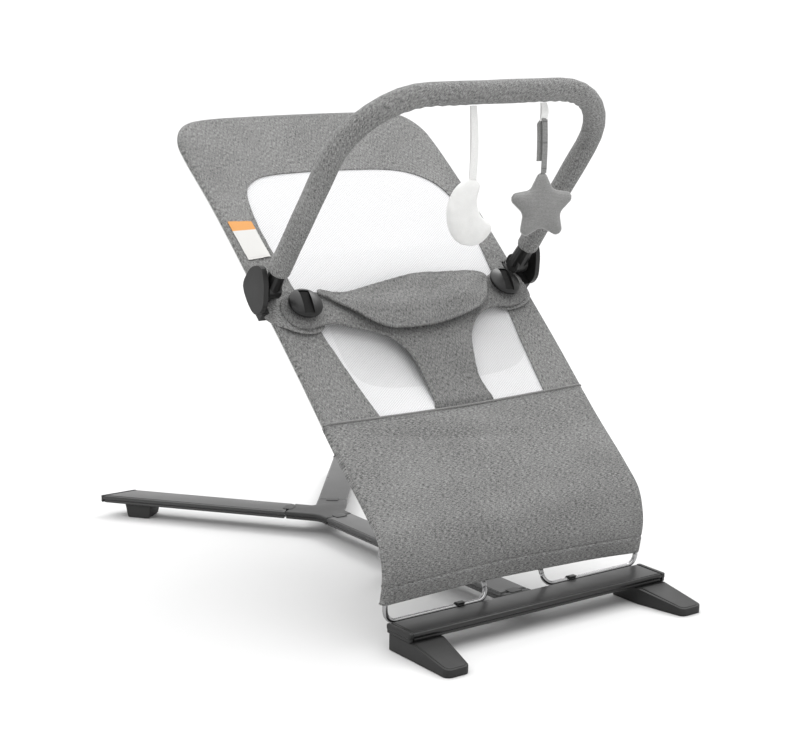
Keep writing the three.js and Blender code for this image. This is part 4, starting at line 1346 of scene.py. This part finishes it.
def make_hub(plastic):
    leg_end = Matrix.Translation((0, HUB_LEG_ARM, 0))
    hub = joined("y_hub_moulding", [
        beaded("hub", hub_outline(), BAR_LOW, BAR_HIGH + 0.5 * MM, base_matrix(HUB_Y),
               groove=False),
        tongue(base_matrix(HUB_Y - HUB_STEM_ARM, pi)),
        *(tongue(base_matrix(HUB_Y, side * LEG_SPLAY) @ leg_end) for side in (1, -1))])
    claim(hub, plastic, "base", "hub_plastic", "y_hub")


def tongue(matrix):
    """The short locking tongue that a moulding lays over the end of a tube."""
    outline = rounded(rectangle(-9, 9, -6, 8.5), 2.2)
    return plate("tongue", outline, BAR_HIGH - 1.2 * MM, BAR_HIGH + 0.7 * MM, 0.5 * MM, matrix)


def hub_outline():
    """Three arms that meet at the origin: one to each rear leg and one to the stem."""
    half = BAR_WIDTH / 2

    def axes(turn):
        along = Vector((-sin(turn), cos(turn)))
        return along, Vector((along.y, -along.x)) * half

    def arm(turn, reach):
        along, across = axes(turn)
        return [along * reach + across, along * reach - across]

    def crossing(first, second):
        """Where the first arm's left edge meets the second arm's right edge."""
        (a, p), (b, q) = axes(first), axes(second)
        gap = p + q
        return -p + a * ((gap.x * -b.y + gap.y * b.x) / (a.x * -b.y + a.y * b.x))

    left, right, stem = LEG_SPLAY, -LEG_SPLAY, pi
    points = [*arm(stem, HUB_STEM_ARM), crossing(stem, right), *arm(right, HUB_LEG_ARM),
              crossing(right, left), *arm(left, HUB_LEG_ARM), crossing(left, stem)]
    radii = [0, 0, 26 * MM, 0, 0, 5 * MM, 0, 0, 26 * MM]
    return round_corners([tuple(point) for point in points], radii, 6)


FOOT_INNER, FOOT_OUTER = 151, 198              # millimetres, as the outlines of the feet are
FOOT_REAR, FOOT_KNEE, FOOT_TIP = 21, -25, -93  # the foot is level from its rear to its knee
FOOT_DEEP, FOOT_SHALLOW = 21 * MM, 9.5 * MM    # its height at the rear and at the tip
FOOT_TAPER = 14


def make_front_foot(side, name, plastic):
    narrow = side * (FOOT_INNER + FOOT_TAPER)
    inner, outer = side * FOOT_INNER, side * FOOT_OUTER
    plan = rounded([(inner, FOOT_REAR), (outer, FOOT_REAR), (outer, FOOT_TIP), (narrow, FOOT_TIP),
                    (inner, FOOT_KNEE)], [2, 2, 8, 8, 3])
    rim = inset([(inner + side, FOOT_KNEE), (outer, FOOT_KNEE), (outer, FOOT_TIP),
                 (narrow, FOOT_TIP)], 2.6)
    foot = joined(f"front_foot_moulding_{name}", [
        wedge_plate("wedge", plan, 0, 1),
        wedge_plate("top face", rounded(rim, [0.8, 0.8, 7, 7]), 0.7, 1.07)])
    claim(foot, plastic, "base", "charcoal_plastic", f"front_foot_{name}")


def wedge_plate(name, plan, low, high):
    """A plate whose height falls from the knee to the tip; low and high are parts of it."""
    knee, tip = FOOT_KNEE * MM, FOOT_TIP * MM
    piece = filled_curve(name, plan, 0.5 * FOOT_DEEP * (high - low), 1.3 * MM)
    place_mesh(piece, Matrix.Translation((0, 0, 0.5 * FOOT_DEEP * (high + low))))
    with editing(piece):
        bpy.ops.mesh.bisect(plane_co=(0, knee, 0), plane_no=(0, 1, 0))
    points = read_points(piece)
    fall = np.clip((knee - points[:, 1]) / (knee - tip), 0, 1)
    points[:, 2] *= 1 + (FOOT_SHALLOW / FOOT_DEEP - 1) * fall
    write_points(piece, points.T)
    place_mesh(piece, base_matrix())
    tidy_shell(piece)
    smooth(piece, 35)
    return piece


def make_housing(plastic, button_plastic):
    """The block behind the crossbar that holds the prop, with its button in a shallow well."""
    side_view = rounded([(202, 17), (258, 17), (258, 56), (212, 56), (202, 40)],
                        [2, 2, 12, 10, 6])
    upright = base_matrix(0, pi / 2) @ Matrix.Rotation(pi / 2, 4, "X")
    housing = plate("prop_housing_moulding", side_view, -36 * MM, 36 * MM, 3 * MM, upright)

    def block(name, outline, low, high, rounding):
        return plate(name, outline, low * MM, high * MM, rounding * MM, base_matrix())

    well = block("well", rounded(rectangle(-12.4, 12.4, 237.6, 250.4), 3), 51.5, 60, 0.2)
    modify(housing, "BOOLEAN", operation="DIFFERENCE", object=well, solver="EXACT")
    bpy.data.objects.remove(well)
    smooth(housing, 35)
    claim(housing, plastic, "base", "black_plastic", "prop_housing")
    parts = [block("cap", rounded(rectangle(-12, 12, 238, 250), 3), 55, 59.3, 1)]
    for y in (241, 244, 247):
        ridge_outline = rounded(rectangle(-7, 7, y - 0.7, y + 0.7), 0.6, 2)
        parts.append(block("ridge", ridge_outline, 58.5, 60, 0.3))
    button = joined("release_button_cap", parts)
    claim(button, button_plastic, "release", "charcoal_plastic", "release_button")


# ------------------------------------------------------------------ wires
CENTRE_SLOPE = radians(50)
CENTRE_X = 45 * MM
CENTRE_REACH = 490.7 * MM
HOOP_RADIUS = 5 * MM
HOOP_HALF = 62 * MM


def on_centre_wire(x, reach):
    lift = WIRE + HOOP_RADIUS + 0.4 * MM
    return HINGE + Vector((x, reach * cos(CENTRE_SLOPE) - lift * sin(CENTRE_SLOPE),
                           reach * sin(CENTRE_SLOPE) + lift * cos(CENTRE_SLOPE)))


def make_wires(chrome):
    def wire(name, points, radius, body, node, sides=16):
        claim(rod(name, points, radius, sides), chrome, body, "bright_wire", node)

    for side, name in SIDES:
        rail_x, centre_x = side * RAIL_X, side * CENTRE_X
        corners = [seat_point(rail_x, RAIL_END, -RAIL_DROP) - Vector((0, 0, 2 * MM)),
                   HINGE + Vector((rail_x, 0, 0)), HINGE + Vector((centre_x, 0, 0)),
                   on_centre_wire(centre_x, 26 * MM), on_centre_wire(centre_x, CENTRE_REACH)]
        wire(f"base_wire_rod_{name}", bent_path(corners, 15 * MM), WIRE, "seat",
             f"base_wire_{name}")
        rail = [seat_point(rail_x, s, -RAIL_DROP) for s in np.linspace(RAIL_START, RAIL_END, 90)]
        wire(f"side_rail_rod_{name}", rail, WIRE, "seat", f"side_rail_{name}")
    bar = on_centre_wire(0, CENTRE_REACH + 4.3 * MM)
    reach = Vector((RAIL_X - WIRE - 0.3 * MM, 0, 0))
    wire("back_bar_rod", [bar - reach, bar + reach], 4 * MM, "seat", "back_bar", 24)

    arm = HINGE - HOOP_PIVOT
    rest_angle = np.arctan2(-arm.z, -arm.y)
    lean = 2 * CENTRE_SLOPE - rest_angle
    hoop = [HOOP_PIVOT + Vector((x, distance * cos(lean), distance * sin(lean)))
            for x, distance in ((HOOP_HALF, -9 * MM), (HOOP_HALF, arm.length),
                                (-HOOP_HALF, arm.length), (-HOOP_HALF, -9 * MM))]
    wire("prop_hoop_rod", bent_path(hoop, 12 * MM), HOOP_RADIUS, "prop", "prop_hoop", 20)


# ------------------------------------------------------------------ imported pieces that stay
def soften_edges(node, material, width):
    """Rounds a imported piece's sharp edges and gives it its finish."""
    piece = frame["nodes"][node]
    piece.modifiers.new("weld", "WELD").merge_threshold = 1e-5
    if width:
        bevel = piece.modifiers.new("edges", "BEVEL")
        bevel.width = width
        bevel.segments = 3
        bevel.limit_method = "ANGLE"
        bevel.angle_limit = radians(38)
    piece.material_slots[0].material = material


def main():
    make_camera()
    make_studio()
    upper = melange("grey melange", 0.066, 0.305)
    lower = melange("grey melange, leg panel", 0.064, 0.295, turn=pi / 2)
    dark = melange("dark melange", 0.070, 0.33, turn=0.6)
    mesh = air_mesh("white air mesh")
    lining = plain_cloth("pale lining", 0.60)
    bar_paint = painted("satin grey bar paint", 0.016)
    # A darker, less glossy copy of the bar paint for the crossbar: painted shade for the dark sling
    # above it that it reflects.
    crossbar_shaded_paint = painted("satin grey bar paint, shaded for the crossbar", 0.010, 0.36, 0.36)
    charcoal = moulded("charcoal moulding", 0.012)
    hub = moulded("hub moulding", 0.03, 0.4)
    black = moulded("black moulding", 0.009, 0.34)
    rubber = moulded("foot rubber", 0.03, 0.75, 0.5)
    webbing = plain_cloth("black webbing", 0.012, 1500, 0.0)
    chrome = metal("bright wire", 0.34, 0.13)
    steel = metal("plain steel", 0.55, 0.3)
    ribbon = plain_cloth("white ribbon", 0.78)
    white_plush = plush("white plush", 0.74)
    jersey = ribbed_jersey("grey jersey", 0.245)
    thread = plain_cloth("pale thread", 0.4)
    grey_thread = plain_cloth("grey thread", 0.12)

    make_cover(upper)
    make_mesh_panel(mesh)
    make_lining(lining)
    make_leg_panel(lower)
    make_seam_piping(dark)
    make_label(label_cloth("label cloth", seat_point(0, 0.263).z, seat_point(0, 0.201).z))
    strap_cloth = melange("grey melange, harness", 0.058, 0.265)
    make_harness_body(strap_cloth)
    make_harness_flap(strap_cloth)
    make_sleeve(dark)
    make_moon(white_plush)
    make_star(jersey, thread)
    make_ribbon("moon_ribbon_tape", MOON_X + 5 * MM, TOY_DROP - 33 * MM, -0.35, ribbon, "moon_toy",
                "moon_ribbon")
    make_ribbon("star_ribbon_tape", STAR_X, 37 * MM, -0.3, ribbon, "star_toy", "star_ribbon")
    make_star_strap(jersey, grey_thread)
    make_crossbar(crossbar_shaded_paint, charcoal)
    make_stem(bar_paint, hub)
    for side, name in SIDES:
        make_rear_leg(side, name, bar_paint, charcoal, rubber)
    make_hub(hub)
    make_housing(black, charcoal)
    make_wires(chrome)
    for side, name in SIDES:
        make_side_tongue(side, name, dark)
        make_toggle_disc(side, name, black, webbing)
        make_front_foot(side, name, charcoal)
        for node, material, width in (
                ("toy_bar_bracket", charcoal, 1.2), ("toy_bar_socket", black, 0.9),
                ("toggle_anchor", black, 0.5), ("wire_clip", black, 0.6),
                ("housing_screw", steel, 0.2), ("hub_screw", steel, 0.2)):
            soften_edges(f"{node}_{name}", material, width * MM)
    for node, material, width in (("hub_screw_front", steel, 0.2), ("crown_wire", chrome, 0),
                                  ("prop_shaft", steel, 0.4), ("toy_bar_core", black, 0)):
        soften_edges(node, material, width * MM)


main()
